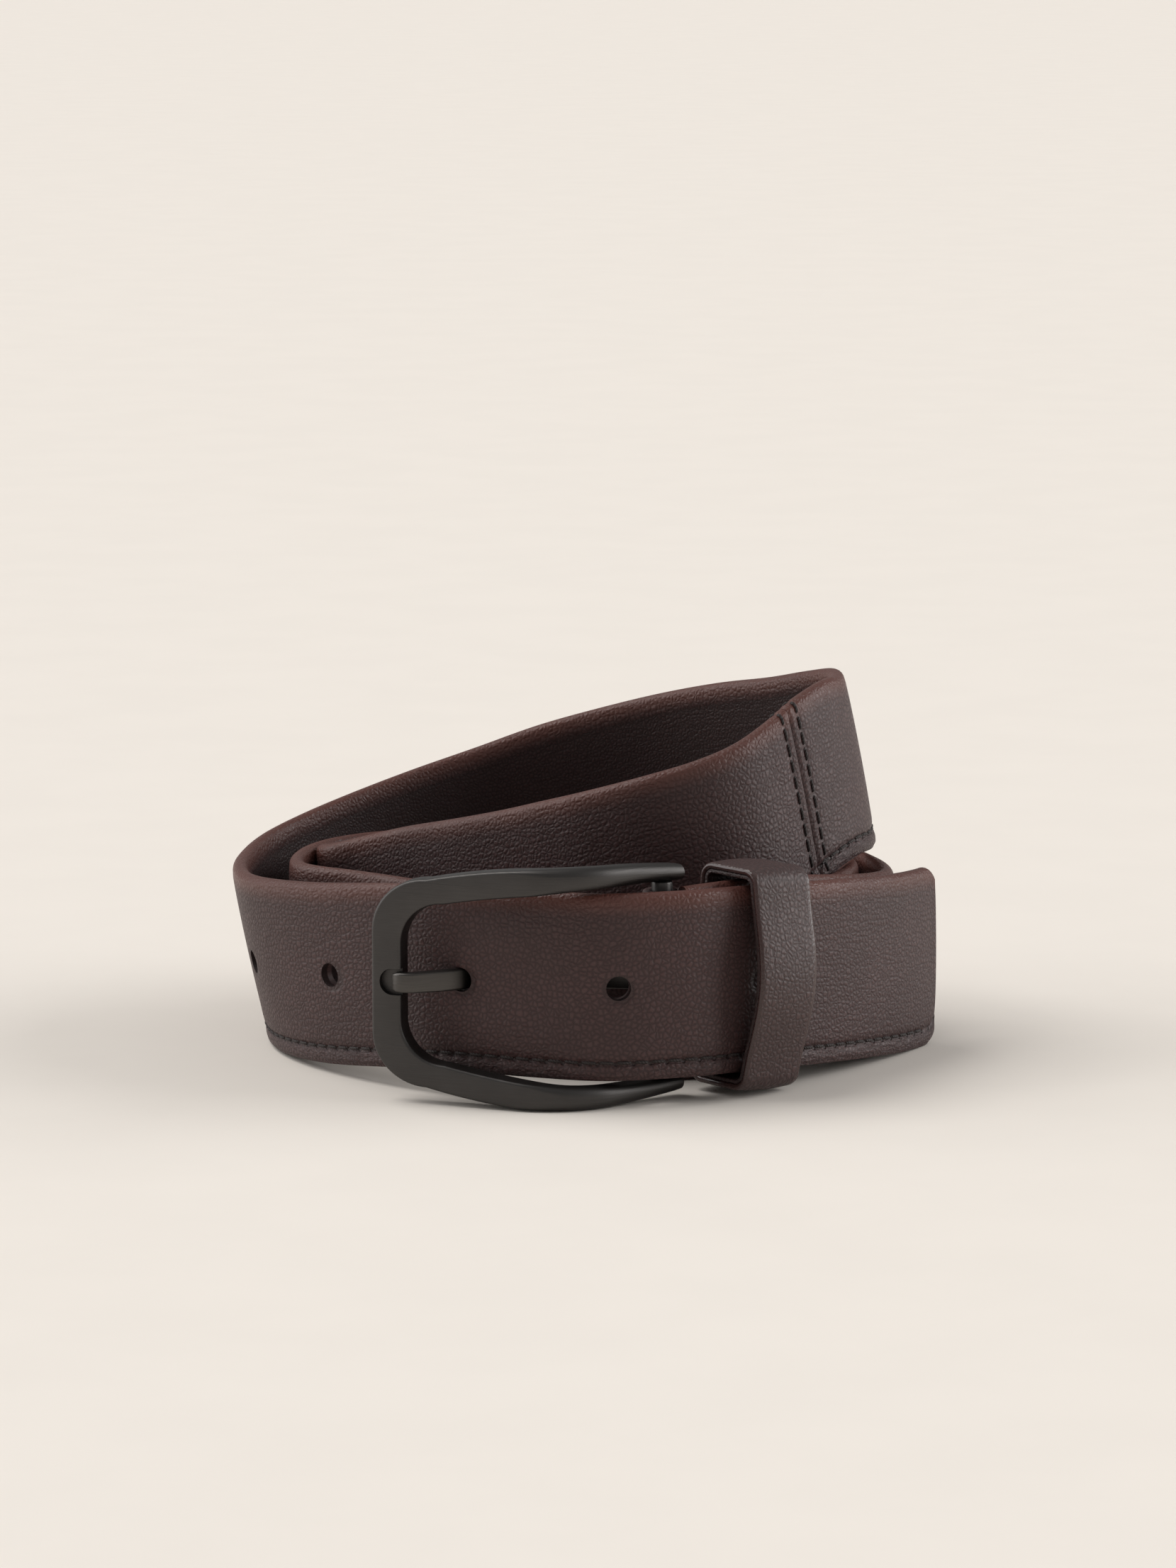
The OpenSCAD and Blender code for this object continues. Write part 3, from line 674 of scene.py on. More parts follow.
def facing_ring(u, length, crown):
    """Section of the facing: up the face, over the top and down behind, then back inside it."""
    at, out, rise, run = axes_at(u)
    taper = smooth(0.0, 0.8, TOTAL - length) * 0.35
    ring = []
    for w in FACE_HEIGHTS:
        ring.append((front_v(length, w, crown) - 0.35 + taper, w))
    r = HALF_T - 0.45 * pulled_in(length)
    for k in range(11):
        a = math.pi * (0.06 + 0.88 * k / 10)
        ring.append((r * math.cos(a) - (0.35 - taper) * math.cos(a), TOP_H + r * math.sin(a)))
    behind = HALF_T + 0.12 - 0.5 * pulled_in(length)
    ring += [(-behind, TURN_H + 1.6), (-behind, TURN_H + 0.25), (-behind + 0.12, TURN_H - 0.05),
             (TURN_IN, TURN_H), (TURN_IN, TOP_H)]
    inner = HALF_T - FACING_T
    ring += [(inner * math.cos(a), TOP_H + inner * math.sin(a)) for a in (2.4, 1.57, 0.75)]
    ring += [(FACE_IN, TOP_H), (FACE_IN, 20.0), (FACE_IN, 8.0), (FACE_IN, 0.25)]
    return [set_down(at + out * v + rise * trimmed(w, length)) for v, w in ring]


def lining_ring(u, length):
    at, out, rise, run = axes_at(u)
    heights = [0.0, 0.25, 0.7, 1.6, 2.6, 3.0, 3.4, 3.8, 4.3, 5.5, 8.0, 12.0, 16.0, 20.0, 24.0, 28.0,
               TURN_H - 0.6, TURN_H - 0.05]
    ring = [(back_v(length, w), w) for w in heights]
    ring += [(LINE_IN, TURN_H - 0.05), (LINE_IN, 16.0), (LINE_IN, 0.2)]
    return [set_down(at + out * v + rise * trimmed(w, length)) for v, w in ring]


def ring_places(start, end, gap):
    count = max(2, round((end - start) / gap))
    places = [start + (end - start) * i / count for i in range(count + 1)]
    if end > TOTAL - 1:
        extra = [TOTAL - d for d in (6.0, 5.0, 4.0, 3.4, 2.8, 2.2, 1.7, 1.2, 0.8, 0.5, 0.3, 0.12, 0.03)]
        places = [s for s in places if s < TOTAL - 6.5] + extra + [TOTAL]
    return places


def near_join(places):
    """Closer rings where the faces dip towards the join."""
    extra = [L_JOIN + d for d in (-3.0, -2.3, -1.7, -1.1, -0.6, -0.25, 0.25, 0.6, 1.1, 1.7, 2.3, 3.0)]
    low, high = places[0], places[-1]
    return sorted(places + [s for s in extra if low < s < high])


def lay_strap(name, start, end, ring_of, gap):
    places = near_join(ring_places(start, end, gap))
    rings = [ring_of(place_at(s), s) for s in places]
    # The map runs from the tip, so that the holes lie at round numbers along it
    along = [(TOTAL - s) * MM for s in places]
    around = around_lengths(rings[len(rings) // 3])
    return lay_grid(name, rings, along, around, angle=55.0)


def punch_holes(obj):
    tools = []
    for s in L_HOLES:
        at, out, run = hole_middle(place_at(s))
        middle = set_down(at)
        deselect()
        bpy.ops.mesh.primitive_cylinder_add(
            vertices=40, radius=HOLE_D / 2 * MM, depth=8 * MM, location=middle,
            rotation=out.to_track_quat("Z", "Y").to_euler())
        tools.append(bpy.context.object)
    carve(obj, tools)
    pick(obj)
    bpy.ops.object.shade_smooth_by_angle(angle=math.radians(50))
    return obj


def cut_eye_slot(obj):
    """Opens the strap's heel end, or the return leaf, where the prong's eye turns."""
    at, out, rise, run = axes_at(0.0)
    deep = 2 * STRAP_T + 2 * LEAF_T
    reach = LOOP_IN + 1.3 + 0.5 - BAR_BACK
    middle = at + run * ((reach - 1) / 2) - out * (deep / 2 - STRAP_T) + rise * (MID_Z - LIFT)
    deselect()
    bpy.ops.mesh.primitive_cube_add(size=1.0, location=set_down(middle),
                                    rotation=(0, 0, math.atan2(run.y, run.x)))
    tool = bpy.context.object
    tool.scale = ((reach + 1) * MM, deep * MM, (PRONG_H + 1) * MM)
    carve(obj, [tool])


class BELT_OT_strap(bpy.types.Operator):
    """Make the facing and lining of both lengths of the strap, and colour the core"""

    bl_idname = "belt.strap"
    bl_label = "Strap"

    def execute(self, context):
        s = context.scene.belt_strap
        pitch = context.scene.belt_sewing.pitch
        crown = s.crown / MM
        gap = s.ring_gap / MM
        holes = [(TIP_TO_HOLE + i * HOLE_PITCH) * MM for i in range(HOLE_COUNT)]
        seam = SEAM_H * MM
        top = TOP_H * MM
        # Band of the top fold, lighter partly by wear and partly as a painted highlight
        fold = ((top - 0.003, top + 0.0012), (top + 0.0046, top + 0.0075), tuple(s.burnish_and_highlight), 0.10)
        facing = grained_leather("facing_grain", tuple(s.leather), s.grain, s.relief, fold, None, (),
                                 seam, pitch)
        holed = grained_leather("facing_grain_holed", tuple(s.leather), s.grain, s.relief, fold, None,
                                holes, seam, pitch)
        lining = grained_leather("lining_grain", tuple(s.lining), s.grain * 0.8, s.relief * 0.7,
                                 seam=seam, pitch=pitch, sheen=0.28)
        tip = lay_strap("facing_tip_leather", L_JOIN + 0.06, TOTAL,
                        lambda u, d: facing_ring(u, d, crown), gap)
        punch_holes(tip)
        finish_piece(tip, holed, "strap", "facing_leather", "facing_tip")
        heel = lay_strap("facing_heel_leather", 0.0, L_JOIN - 0.06,
                         lambda u, d: facing_ring(u, d, crown), gap)
        cut_eye_slot(heel)
        finish_piece(heel, facing, "strap", "facing_leather", "facing_heel")
        back = lay_strap("lining_tip_leather", L_JOIN + 0.06, TOTAL - 0.1, lining_ring, gap)
        punch_holes(back)
        finish_piece(back, lining, "strap", "lining_leather", "lining_tip")
        back = lay_strap("lining_heel_leather", 0.0, L_JOIN - 0.06, lining_ring, gap)
        cut_eye_slot(back)
        finish_piece(back, lining, "strap", "lining_leather", "lining_heel")
        edge = cut_edge_leather("core_edge", tuple(c * 0.8 for c in s.leather))
        for node in ("core_tip", "core_heel"):
            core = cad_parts[node]
            core.data.materials.clear()
            core.data.materials.append(edge)
        return {"FINISHED"}


# ---------------------------------------------------------------- sewing


STITCH_SHAPE = ((0.0, -0.62), (0.07, -0.25), (0.16, 0.06), (0.32, 0.17), (0.5, 0.2), (0.68, 0.17),
                (0.84, 0.06), (0.93, -0.25))


def stitched_line(name, places, half):
    """A sewn thread that dives through the leather between stitches. Each place gives the point
    on the leather, the way off it and the way across the thread, at a share of a stitch."""
    path = []
    for share, lift, at, off, across in places:
        path.append((at + off * (lift * MM), across, off))
    return tube(name, path, 6, lambda k: (half, half * 0.8))


class BELT_OT_sewing(bpy.types.Operator):
    """Sew the seam along the lower edge and the two rows at the join"""

    bl_idname = "belt.sewing"
    bl_label = "Sewing"

    def execute(self, context):
        s = context.scene.belt_sewing
        crown = context.scene.belt_strap.crown / MM
        pitch = s.pitch / MM
        half = s.thread / 2
        thread = waxed_thread("tonal_thread", tuple(s.tonal), 0.00062)
        for part, start, end in (("tip", L_JOIN, TOTAL - 3.2), ("heel", length_at(3.2), L_JOIN)):
            rows = []
            for side in (1, -1):
                places = []
                # Needle holes lie at whole pitches from the tip, as the leather's map has them
                first = math.ceil((TOTAL - end) / pitch)
                final = math.floor((TOTAL - start) / pitch)
                for k in range(first, final):
                    for share, lift in STITCH_SHAPE:
                        d = TOTAL - (k + share) * pitch
                        at, out, rise, run = axes_at(place_at(d))
                        v = front_v(d, SEAM_H, crown) if side > 0 else back_v(d, SEAM_H)
                        slant = 0.12 * (share - 0.5)
                        p = set_down(at + out * v + rise * (SEAM_H + slant))
                        places.append((share, lift, p, out * side, rise))
                rows.append(stitched_line(f"row_{part}_{side}", places, half))
            row = join(f"edge_stitches_{part}", rows)
            finish_piece(row, thread, "strap", "thread", f"edge_thread_{part}")
        for part, side in (("tip", 1), ("heel", -1)):
            d = L_JOIN + side * 2.3
            at, out, rise, run = axes_at(place_at(d))
            line = []
            # Up the face, over the fold and down behind, with a stitch to each pitch
            span = TOP_H - 1.0
            steps = 76
            for k in range(steps + 1):
                w = 1.0 + span * k / steps
                line.append((out * front_v(d, w, crown) + rise * w, out, w - 1.0))
            r = HALF_T - 0.45 * pulled_in(d)
            for k in range(1, 8):
                a = math.pi * k / 8
                way = out * math.cos(a) + rise * math.sin(a)
                line.append((rise * TOP_H + way * r, way, span + r * a))
            for k in range(steps + 1):
                w = TOP_H - span * k / steps
                v = back_v(d, min(w, TURN_H)) if w < TURN_H else -HALF_T - 0.12
                line.append((out * v + rise * w, -out, span + math.pi * r + (TOP_H - w)))
            path = []
            for q, way, run_length in line:
                share = (run_length / pitch) % 1.0
                lift = 0.22 - 0.85 * (bump_at(share, 0, 0.1) + bump_at(share, 1, 0.1))
                path.append((set_down(at + q + way * lift), run, way))
            rows = tube(f"join_stitches_{part}", path, 6, lambda k: (half, half * 0.8))
            finish_piece(rows, thread, "strap", "thread", f"join_thread_{part}")
        return {"FINISHED"}


# ---------------------------------------------------------------- fold at the buckle


HEEL_AT, HEEL_OUT, HEEL_RISE, HEEL_RUN = axes_at(0.0)
BAR_DEEP = LOOP_OUT - HALF_T + 0.7
BAR_AT = HEEL_AT - HEEL_RUN * BAR_BACK - HEEL_OUT * BAR_DEEP
LEAF_OFF = HALF_T + 0.04
U_LEAF = 3.0


def soft_block(across, height, edge, crown):
    """Outline of a strip of leather, [across, height], with rounded edges and a slight crown."""
    h, t = height / 2, across / 2
    out = []
    for ca, ch, a0 in ((t - edge, -h + edge, -90), (t - edge, h - edge, 0), (-t + edge, h - edge, 90),
                       (-t + edge, -h + edge, 180)):
        for k in range(4):
            a = math.radians(a0 + 30 * k)
            out.append((ca + edge * math.cos(a), ch + edge * math.sin(a)))
        if a0 in (0, 180):
            continue
        sign = 1 if a0 == -90 else -1
        for k in range(1, 8):
            y = (-h + edge) + (2 * h - 2 * edge) * k / 8
            y = y if sign > 0 else -y
            out.append((sign * (t + crown * math.sin(math.pi * k / 8)), y))
    return out


class BELT_OT_fold(bpy.types.Operator):
    """Make the fold that holds the buckle, its return leaf and its sewing"""

    bl_idname = "belt.fold"
    bl_label = "Fold and leaf"

    def execute(self, context):
        strap = context.scene.belt_strap
        sewing = context.scene.belt_sewing
        # The fold's leather is the facing's made a tenth lighter: a painted highlight on the fold round
        # the bar
        leather = grained_leather("fold_grain_highlit", tuple(c * 1.1 for c in strap.leather), strap.grain,
                                  strap.relief, sheen=0.4)
        tan = waxed_thread("tan_thread", tuple(sewing.tan), 0.0006)
        loop_h = STRAP_W - 1.4
        slot = PRONG_H + 1.0
        half_h = (loop_h - slot) / 2
        mid_r = LOOP_IN + LEAF_T / 2
        # The fold runs from the strap's outer face round the bar to the return leaf
        start = math.atan2(HEEL_OUT.y, HEEL_OUT.x) + math.radians(6)
        halves = []
        for side in (1, -1):
            zc = MID_Z + side * (slot + half_h) / 2
            rings, along = [], []
            for k in range(33):
                a = start - math.radians(192) * k / 32
                way = Vector((math.cos(a), math.sin(a), 0))
                section = soft_block(LEAF_T, half_h, 0.6, 0.08)
                rings.append([set_down(Vector((BAR_AT.x, BAR_AT.y, zc)) + way * (mid_r + t)
                                       + Vector((0, 0, h))) for t, h in section])
                along.append(mid_r * math.radians(192) * k / 32 * MM)
            halves.append(lay_grid(f"fold_{side}", rings, along, around_lengths(rings[0])))
        fold = join("fold_leather", halves)
        finish_piece(fold, leather, "strap", "facing_leather", "fold_loop")
        rings, along = [], []
        end = length_at(U_LEAF)
        for k in range(41):
            d = end * k / 40
            at, out, rise, run = axes_at(place_at(d))
            thin = 0.55 * smooth(end - 5, end, d)
            section = soft_block(LEAF_T - thin, STRAP_W - 1.4, 0.5, 0.10)
            middle = at - out * (LEAF_OFF + (LEAF_T - thin) / 2) + rise * (STRAP_W / 2)
            rings.append([set_down(middle - out * t + rise * h) for t, h in section])
            along.append(d * MM)
        leaf = lay_grid("return_leaf_leather", rings, along, around_lengths(rings[0]))
        cut_eye_slot(leaf)
        finish_piece(leaf, leather, "strap", "facing_leather", "return_leaf")
        crown = strap.crown / MM
        half = sewing.thread / 2
        for part, u in (("near", 0.62), ("far", 2.78)):
            rows = []
            for side in (1, -1):
                at, out, rise, run = axes_at(u)
                path = []
                count = int((STRAP_W - 3.0) / (sewing.pitch / MM))
                for k in range(count):
                    for share, lift in STITCH_SHAPE:
                        w = 1.6 + (k + share) * sewing.pitch / MM
                        v = front_v(length_at(u), w, crown) if side > 0 else -(LEAF_OFF + LEAF_T)
                        path.append((set_down(at + out * (v + side * lift) + rise * w), run, out * side))
                rows.append(tube(f"fold_row_{side}", path, 6, lambda k: (half, half * 0.8)))
            row = join(f"fold_stitches_{part}", rows)
            finish_piece(row, tan, "strap", "tan_thread", f"fold_thread_{part}")
        return {"FINISHED"}


# ---------------------------------------------------------------- keeper


KEEPER_LINING = 0.8
KEEPER_T = 2.0
KEEPER_AIR = 2.0
KEEPER_FRONT = HALF_T + KEEPER_AIR / 2
KEEPER_BACK = 8.731  # clears the return leaf, as the frame's keeper does
KEEPER_RISE = 1.3


def keeper_loop(grow, steps):
    """Round the keeper's inner outline grown by a distance: points [inward, height] and the way
    out at each, with closer points at the corners."""
    r = 1.0 + grow
    x0, x1 = -KEEPER_FRONT - grow, KEEPER_BACK + grow
    z0, z1 = -KEEPER_RISE - grow, STRAP_W + KEEPER_RISE + grow
    out = []
    corners = ((x0 + r, z0 + r, 180, 270), (x1 - r, z0 + r, 270, 360), (x1 - r, z1 - r, 0, 90),
               (x0 + r, z1 - r, 90, 180))
    for k, (cx, cz, a0, a1) in enumerate(corners):
        for i in range(7):
            a = math.radians(a0 + (a1 - a0) * i / 6)
            out.append((cx + r * math.cos(a), cz + r * math.sin(a), math.cos(a), math.sin(a)))
        nx, nz, b0, _ = corners[(k + 1) % 4]
        a = math.radians(a1)
        p = (cx + r * math.cos(a), cz + r * math.sin(a))
        b = math.radians(b0)
        q = (nx + r * math.cos(b), nz + r * math.sin(b))
        for i in range(1, steps):
            t = i / steps
            out.append((p[0] + (q[0] - p[0]) * t, p[1] + (q[1] - p[1]) * t, math.cos(a), math.sin(a)))
    return out


class BELT_OT_keeper(bpy.types.Operator):
    """Make the padded keeper with its painted edges, its lining and its staple"""

    bl_idname = "belt.keeper"
    bl_label = "Keeper"

    def execute(self, context):
        s = context.scene.belt_keeper
        strap = context.scene.belt_strap
        at, out, rise, run = axes_at(U_KEEPER)
        inward = -out
        up = run.cross(inward)
        width = s.width / MM
        puff = s.puff / MM

        def ring_at(x, z, nx, nz, low, high, w, edge, crown):
            """Section across the band at one place round the loop."""
            rounded = math.cos(math.pi * (z - STRAP_W / 2) / (STRAP_W + 9)) ** 2
            bow = puff * smooth(0.2, 1.0, -nx) * rounded
            pts = []
            for t, a in soft_block(high - low, w, edge, crown):
                reach = (low + high) / 2 + t
                # The band bows out at its middle and curls in at its two edges
                pts.append(set_down(at + inward * (x + nx * (reach + bow)) + up * (z + nz * reach)
                                    + run * a))
            return pts

        for name, low, high, w, edge, crown, node, slot, paint in (
            ("keeper_leather_band", KEEPER_LINING, KEEPER_T, width, 0.55, 0.35, "keeper_band",
             "keeper_leather", "band"),
            ("keeper_leather_lining", 0.0, KEEPER_LINING - 0.02, width - 0.5, 0.25, 0.0,
             "keeper_lining", "lining_leather", "lining"),
        ):
            loop = keeper_loop(0.0, 14)
            rings = [ring_at(x, z, nx, nz, low, high, w, edge, crown) for x, z, nx, nz in loop]
            rings.append(rings[0])
            along = [0.0]
            for a, b in zip(rings, rings[1:]):
                along.append(along[-1] + (b[0] - a[0]).length)
            around = around_lengths(rings[4])
            obj = lay_grid(name, rings, along, around, loop=True)
            if paint == "band":
                # The ring starts on the outer face's near edge and runs across it
                face = w * MM
                skin = grained_leather(
                    "keeper_grain", tuple(s.leather), strap.grain, strap.relief,
                    edge=((0.0002, 0.0011), (face - 0.0011, face - 0.0002),
                          tuple(c * 0.9 for c in s.leather)), sheen=0.45)
            else:
                skin = grained_leather("keeper_lining_grain", tuple(strap.lining), strap.grain,
                                       strap.relief)
            finish_piece(obj, skin, "keeper", slot, node)
        # The staple crosses the joint of the band's ends behind the straps
        wire = 0.3
        x = KEEPER_BACK + KEEPER_T + 0.12
        path = []
        shape = [(0.0, -3.0), (0.22, -2.96), (0.34, -2.7), (0.36, -1.5), (0.36, 0), (0.36, 1.5),
                 (0.34, 2.7), (0.22, 2.96), (0.0, 3.0)]
        for lift, z in shape:
            p = set_down(at + inward * (x - 0.2 + lift) + up * (STRAP_W / 2 + z))
            path.append((p, run, inward))
        staple = tube("keeper_staple_wire", path, 8, lambda k: (wire * MM, wire * MM * 0.8))
        steel = brushed_metal("staple_steel", (0.55, 0.53, 0.5), 0.3)
        finish_piece(staple, steel, "keeper", "staple_wire", "keeper_staple")
        return {"FINISHED"}


# ---------------------------------------------------------------- buckle


TOE_X = -39.4
OUTER_ARC = 120.0
OUTER_MID = -2.0
TOE_CORNER = 10.0
INNER_ARC = 170.0
INNER_MID = 8.0
WINDOW_HALF = STRAP_W / 2 + 1.05
WINDOW_CORNER = 8.0
TOE_BAR_W = 5.4
BEND_AT = (-4.1, -3.9)
BEND_R = 18.0
TOE_ANGLE = math.radians(-20)
HEEL_ANGLE = math.atan2(BAR_AT.y - BEND_AT[1], BAR_AT.x - BEND_AT[0])
NOTCH_X = TOE_X + 3.9
NOTCH_R = PRONG_H / 2 + 0.5
NOTCH_DEPTH = 1.3
ARM_END = BAR_AT.x + 4.1


def arc_height(r, x):
    return r - math.sqrt(r * r - x * x)


def band_at(x):
    """Middle of the bent band at x, and the direction through it towards the back."""
    half = (HEEL_ANGLE - TOE_ANGLE) / 2
    axis = (HEEL_ANGLE + TOE_ANGLE) / 2 + math.pi / 2
    reach = BEND_R / math.cos(half)
    cx = BEND_AT[0] + reach * math.cos(axis)
    cy = BEND_AT[1] + reach * math.sin(axis)
    x_toe = cx + BEND_R * math.sin(TOE_ANGLE)
    x_heel = cx + BEND_R * math.sin(HEEL_ANGLE)
    if x <= x_toe:
        a, y = TOE_ANGLE, BEND_AT[1] + (x - BEND_AT[0]) * math.tan(TOE_ANGLE)
    elif x >= x_heel:
        a, y = HEEL_ANGLE, BEND_AT[1] + (x - BEND_AT[0]) * math.tan(HEEL_ANGLE)
    else:
        a = math.asin((x - cx) / BEND_R)
        y = cy - BEND_R * math.cos(a)
    return Vector((x, y, 0)), Vector((-math.sin(a), math.cos(a), 0))


def outline_point(x0, top, r, mid, corner, x1, part, t):
    """Upper half of a barrelled outline: the arm, the corner at the toe, then the toe's side."""
    cx = x0 + corner
    cz = top - arc_height(r, cx - mid) - corner
    if part == 0:
        x = x1 + (cx - x1) * t
        return (x, top - arc_height(r, x - mid))
    if part == 1:
        a = math.radians(90 + 90 * t)
        return (cx + corner * math.cos(a), cz + corner * math.sin(a))
    return (x0, cz * (1 - t))


def frame_stations():
    """Pairs of outer and inner outline points from the end of the upper arm round to the end of
    the lower arm."""
    upper = []
    for part, count in ((0, 40), (1, 22), (2, 10)):
        for k in range(count):
            t = k / count
            outer = outline_point(TOE_X, FRAME_H / 2, OUTER_ARC, OUTER_MID, TOE_CORNER, ARM_END,
                                  part, t)
            inner = outline_point(TOE_X + TOE_BAR_W, WINDOW_HALF, INNER_ARC, INNER_MID,
                                  WINDOW_CORNER, ARM_END, part, t)
            upper.append((outer, inner))
    middle = ((TOE_X, 0.0), (TOE_X + TOE_BAR_W, 0.0))
    lower = [((o[0], -o[1]), (i[0], -i[1])) for o, i in reversed(upper)]
    return upper + [middle] + lower


def bar_section(width, depth, edge):
    """Rounded rectangle round a bar: [share across from inner to outer, depth]."""
    edge = min(edge, width / 2 - 0.05, depth / 2 - 0.05)
    out = []
    for ca, cd, a0 in ((width - edge, -depth / 2 + edge, -90), (width - edge, depth / 2 - edge, 0),
                       (edge, depth / 2 - edge, 90), (edge, -depth / 2 + edge, 180)):
        for k in range(6):
            a = math.radians(a0 + 18 * k)
            out.append(((ca + edge * math.cos(a)) / width, cd + edge * math.sin(a)))
    return out


class BELT_OT_buckle(bpy.types.Operator):
    """Make the bent frame of the buckle with its rounded arms, and its heel bar"""

    bl_idname = "belt.buckle"
    bl_label = "Buckle"

    def execute(self, context):
        s = context.scene.belt_buckle
        rings, along = [], []
        stations = frame_stations()
        for outer, inner in stations:
            x_mid = (outer[0] + inner[0]) / 2
            width = math.dist(outer, inner)
            end = min(1.0, (ARM_END - x_mid) / 1.6)
            squeeze = math.sqrt(max(0.02, 1 - (1 - max(0.0, end)) ** 2)) if end < 1 else 1.0
            edge = s.edge / MM + (s.arm_edge - s.edge) / MM * smooth(-13, -4, x_mid)
            ring = []
            for share, depth in bar_section(width, FRAME_T, edge):
                share = 0.5 + (share - 0.5) * squeeze
                depth = depth * squeeze
                x = inner[0] + (outer[0] - inner[0]) * share
                z = inner[1] + (outer[1] - inner[1]) * share
                at, back = band_at(x)
                ring.append(set_down((at + back * depth) + Vector((0, 0, MID_Z + z))))
            rings.append(ring)
            along.append(0.0 if not along else along[-1] + 0.002)
        metal = brushed_metal("buckle_plating", tuple(s.metal), 0.34,
                              along=(110.0, 110.0, 5600.0))
        body = lay_grid("buckle_bent_frame", rings, along, around_lengths(rings[60]), angle=32.0)
        at, back = band_at(NOTCH_X)
        deselect()
        face = at - back * (FRAME_T / 2)
        bpy.ops.mesh.primitive_cylinder_add(
            vertices=48, radius=NOTCH_R * MM, depth=8 * MM,
            location=set_down(face - back * (4 - NOTCH_DEPTH) + Vector((0, 0, MID_Z))),
            rotation=back.to_track_quat("Z", "Y").to_euler())
        notch = bpy.context.object
        # Draw the notch out past the window's side
        side = Vector((-back.y, back.x, 0)) * -1
        for v in notch.data.vertices:
            world = notch.matrix_world @ v.co
            if (world - notch.location).dot(side) > 0:
                v.co = notch.matrix_world.inverted() @ (world + side * (6 * MM))
        carve(body, [notch])
        pick(body)
        bpy.ops.object.shade_smooth_by_angle(angle=math.radians(32))
        finish_piece(body, metal, "buckle", "buckle_metal", "buckle_frame")
        bar_metal = brushed_metal("bar_plating", tuple(s.metal), 0.3, along=(2500.0, 2500.0, 90.0))
        rings, along = [], []
        half = WINDOW_HALF - 0.1
        for k, (r, z) in enumerate([(1.5, -half), (1.9, -half + 0.15), (2.0, -half + 0.5)]
                                   + [(2.0, -half + 0.5 + (2 * half - 1) * i / 12) for i in range(1, 12)]
                                   + [(2.0, half - 0.5), (1.9, half - 0.15), (1.5, half)]):
            rings.append([set_down(Vector((BAR_AT.x + r * math.cos(math.tau * j / 32),
                                           BAR_AT.y + r * math.sin(math.tau * j / 32), MID_Z + z)))
                          for j in range(32)])
            along.append(z * MM)
        bar = lay_grid("buckle_heel_bar", rings, along, around_lengths(rings[5]))
        finish_piece(bar, bar_metal, "buckle", "buckle_metal", "heel_bar")
        return {"FINISHED"}


class BELT_OT_prong(bpy.types.Operator):
    """Make the prong: its eye round the heel bar, and its bar through the strap to the toe"""

    bl_idname = "belt.prong"
    bl_label = "Prong"

    def execute(self, context):
        s = context.scene.belt_buckle
        hole, out, run = hole_middle(place_at(L_HOLES[2]))
        cross_off = HALF_T + 0.55 + PRONG_T / 2
        toe, back = band_at(NOTCH_X)
        rest = toe - back * (FRAME_T / 2 - NOTCH_DEPTH + 0.08 + PRONG_T / 2)
        behind = hole - out * cross_off + run * 0.9
        before = hole + out * cross_off - run * 0.9
        start = rest + Vector((math.cos(TOE_ANGLE), math.sin(TOE_ANGLE), 0)) * (TOE_BAR_W - 2.2)
        heel = Vector((BAR_AT.x - LOOP_IN - 0.9, BAR_AT.y, 0))
        corners = [Vector((p.x, p.y, 0)) for p in (heel, behind, before, start, rest)]
        # Soften the line's bends
        line = [corners[0]]
        for a, b, c in zip(corners, corners[1:], corners[2:]):
            into, away = (b - a), (c - b)
            cut = min(2.4, into.length * 0.4, away.length * 0.4)
            p, q = b - into.normalized() * cut, b + away.normalized() * cut
            for k in range(9):
                t = k / 8
                line.append(p * (1 - t) ** 2 + b * (2 * t * (1 - t)) + q * t * t)
        line.append(corners[-1])
        fine = []
        for a, b in zip(line, line[1:]):
            n = max(1, round((b - a).length / 1.0))
            fine += [a + (b - a) * (k / n) for k in range(n)]
        fine.append(line[-1])
        total = sum((b - a).length for a, b in zip(fine, fine[1:]))
        rings, along, gone = [], [], 0.0
        for k, p in enumerate(fine):
            a = fine[max(0, k - 1)]
            b = fine[min(len(fine) - 1, k + 1)]
            way = (b - a).normalized()
            side = Vector((-way.y, way.x, 0))
            if k:
                gone += (p - fine[k - 1]).length
            left = total - gone
            nose = math.sqrt(max(0.03, 1 - max(0.0, 1 - left / 1.3) ** 2))
            height = PRONG_H * (0.93 + 0.07 * smooth(0, 9, left)) * (0.72 + 0.28 * nose)
            thick = PRONG_T * nose
            rings.append([set_down(p + side * d + Vector((0, 0, MID_Z + (share - 0.5) * height)))
                          for share, d in bar_section(height, thick, 0.5)])
            along.append(gone * MM)
        metal = brushed_metal("prong_plating", tuple(s.prong_metal), 0.3, along=(150.0, 150.0, 4800.0))
        bar = lay_grid("prong_bar", rings, along, around_lengths(rings[10]), angle=38.0)
        rings, along = [], []
        mid_r, thick = LOOP_IN + 0.65, 1.3
        for k in range(49):
            a = math.tau * k / 48
            way = Vector((math.cos(a), math.sin(a), 0))
            rings.append([set_down(Vector((BAR_AT.x, BAR_AT.y, MID_Z + (share - 0.5) * PRONG_H))
                                   + way * (mid_r + d))
                          for share, d in bar_section(PRONG_H, thick, 0.35)])
            along.append(mid_r * a * MM)
        eye = lay_grid("prong_eye", rings, along, around_lengths(rings[0]), loop=True, angle=38.0)
        prong = join("prong_bent_bar", [bar, eye])
        finish_piece(prong, metal, "prong", "prong_metal", "prong")
        return {"FINISHED"}


# ---------------------------------------------------------------- stage


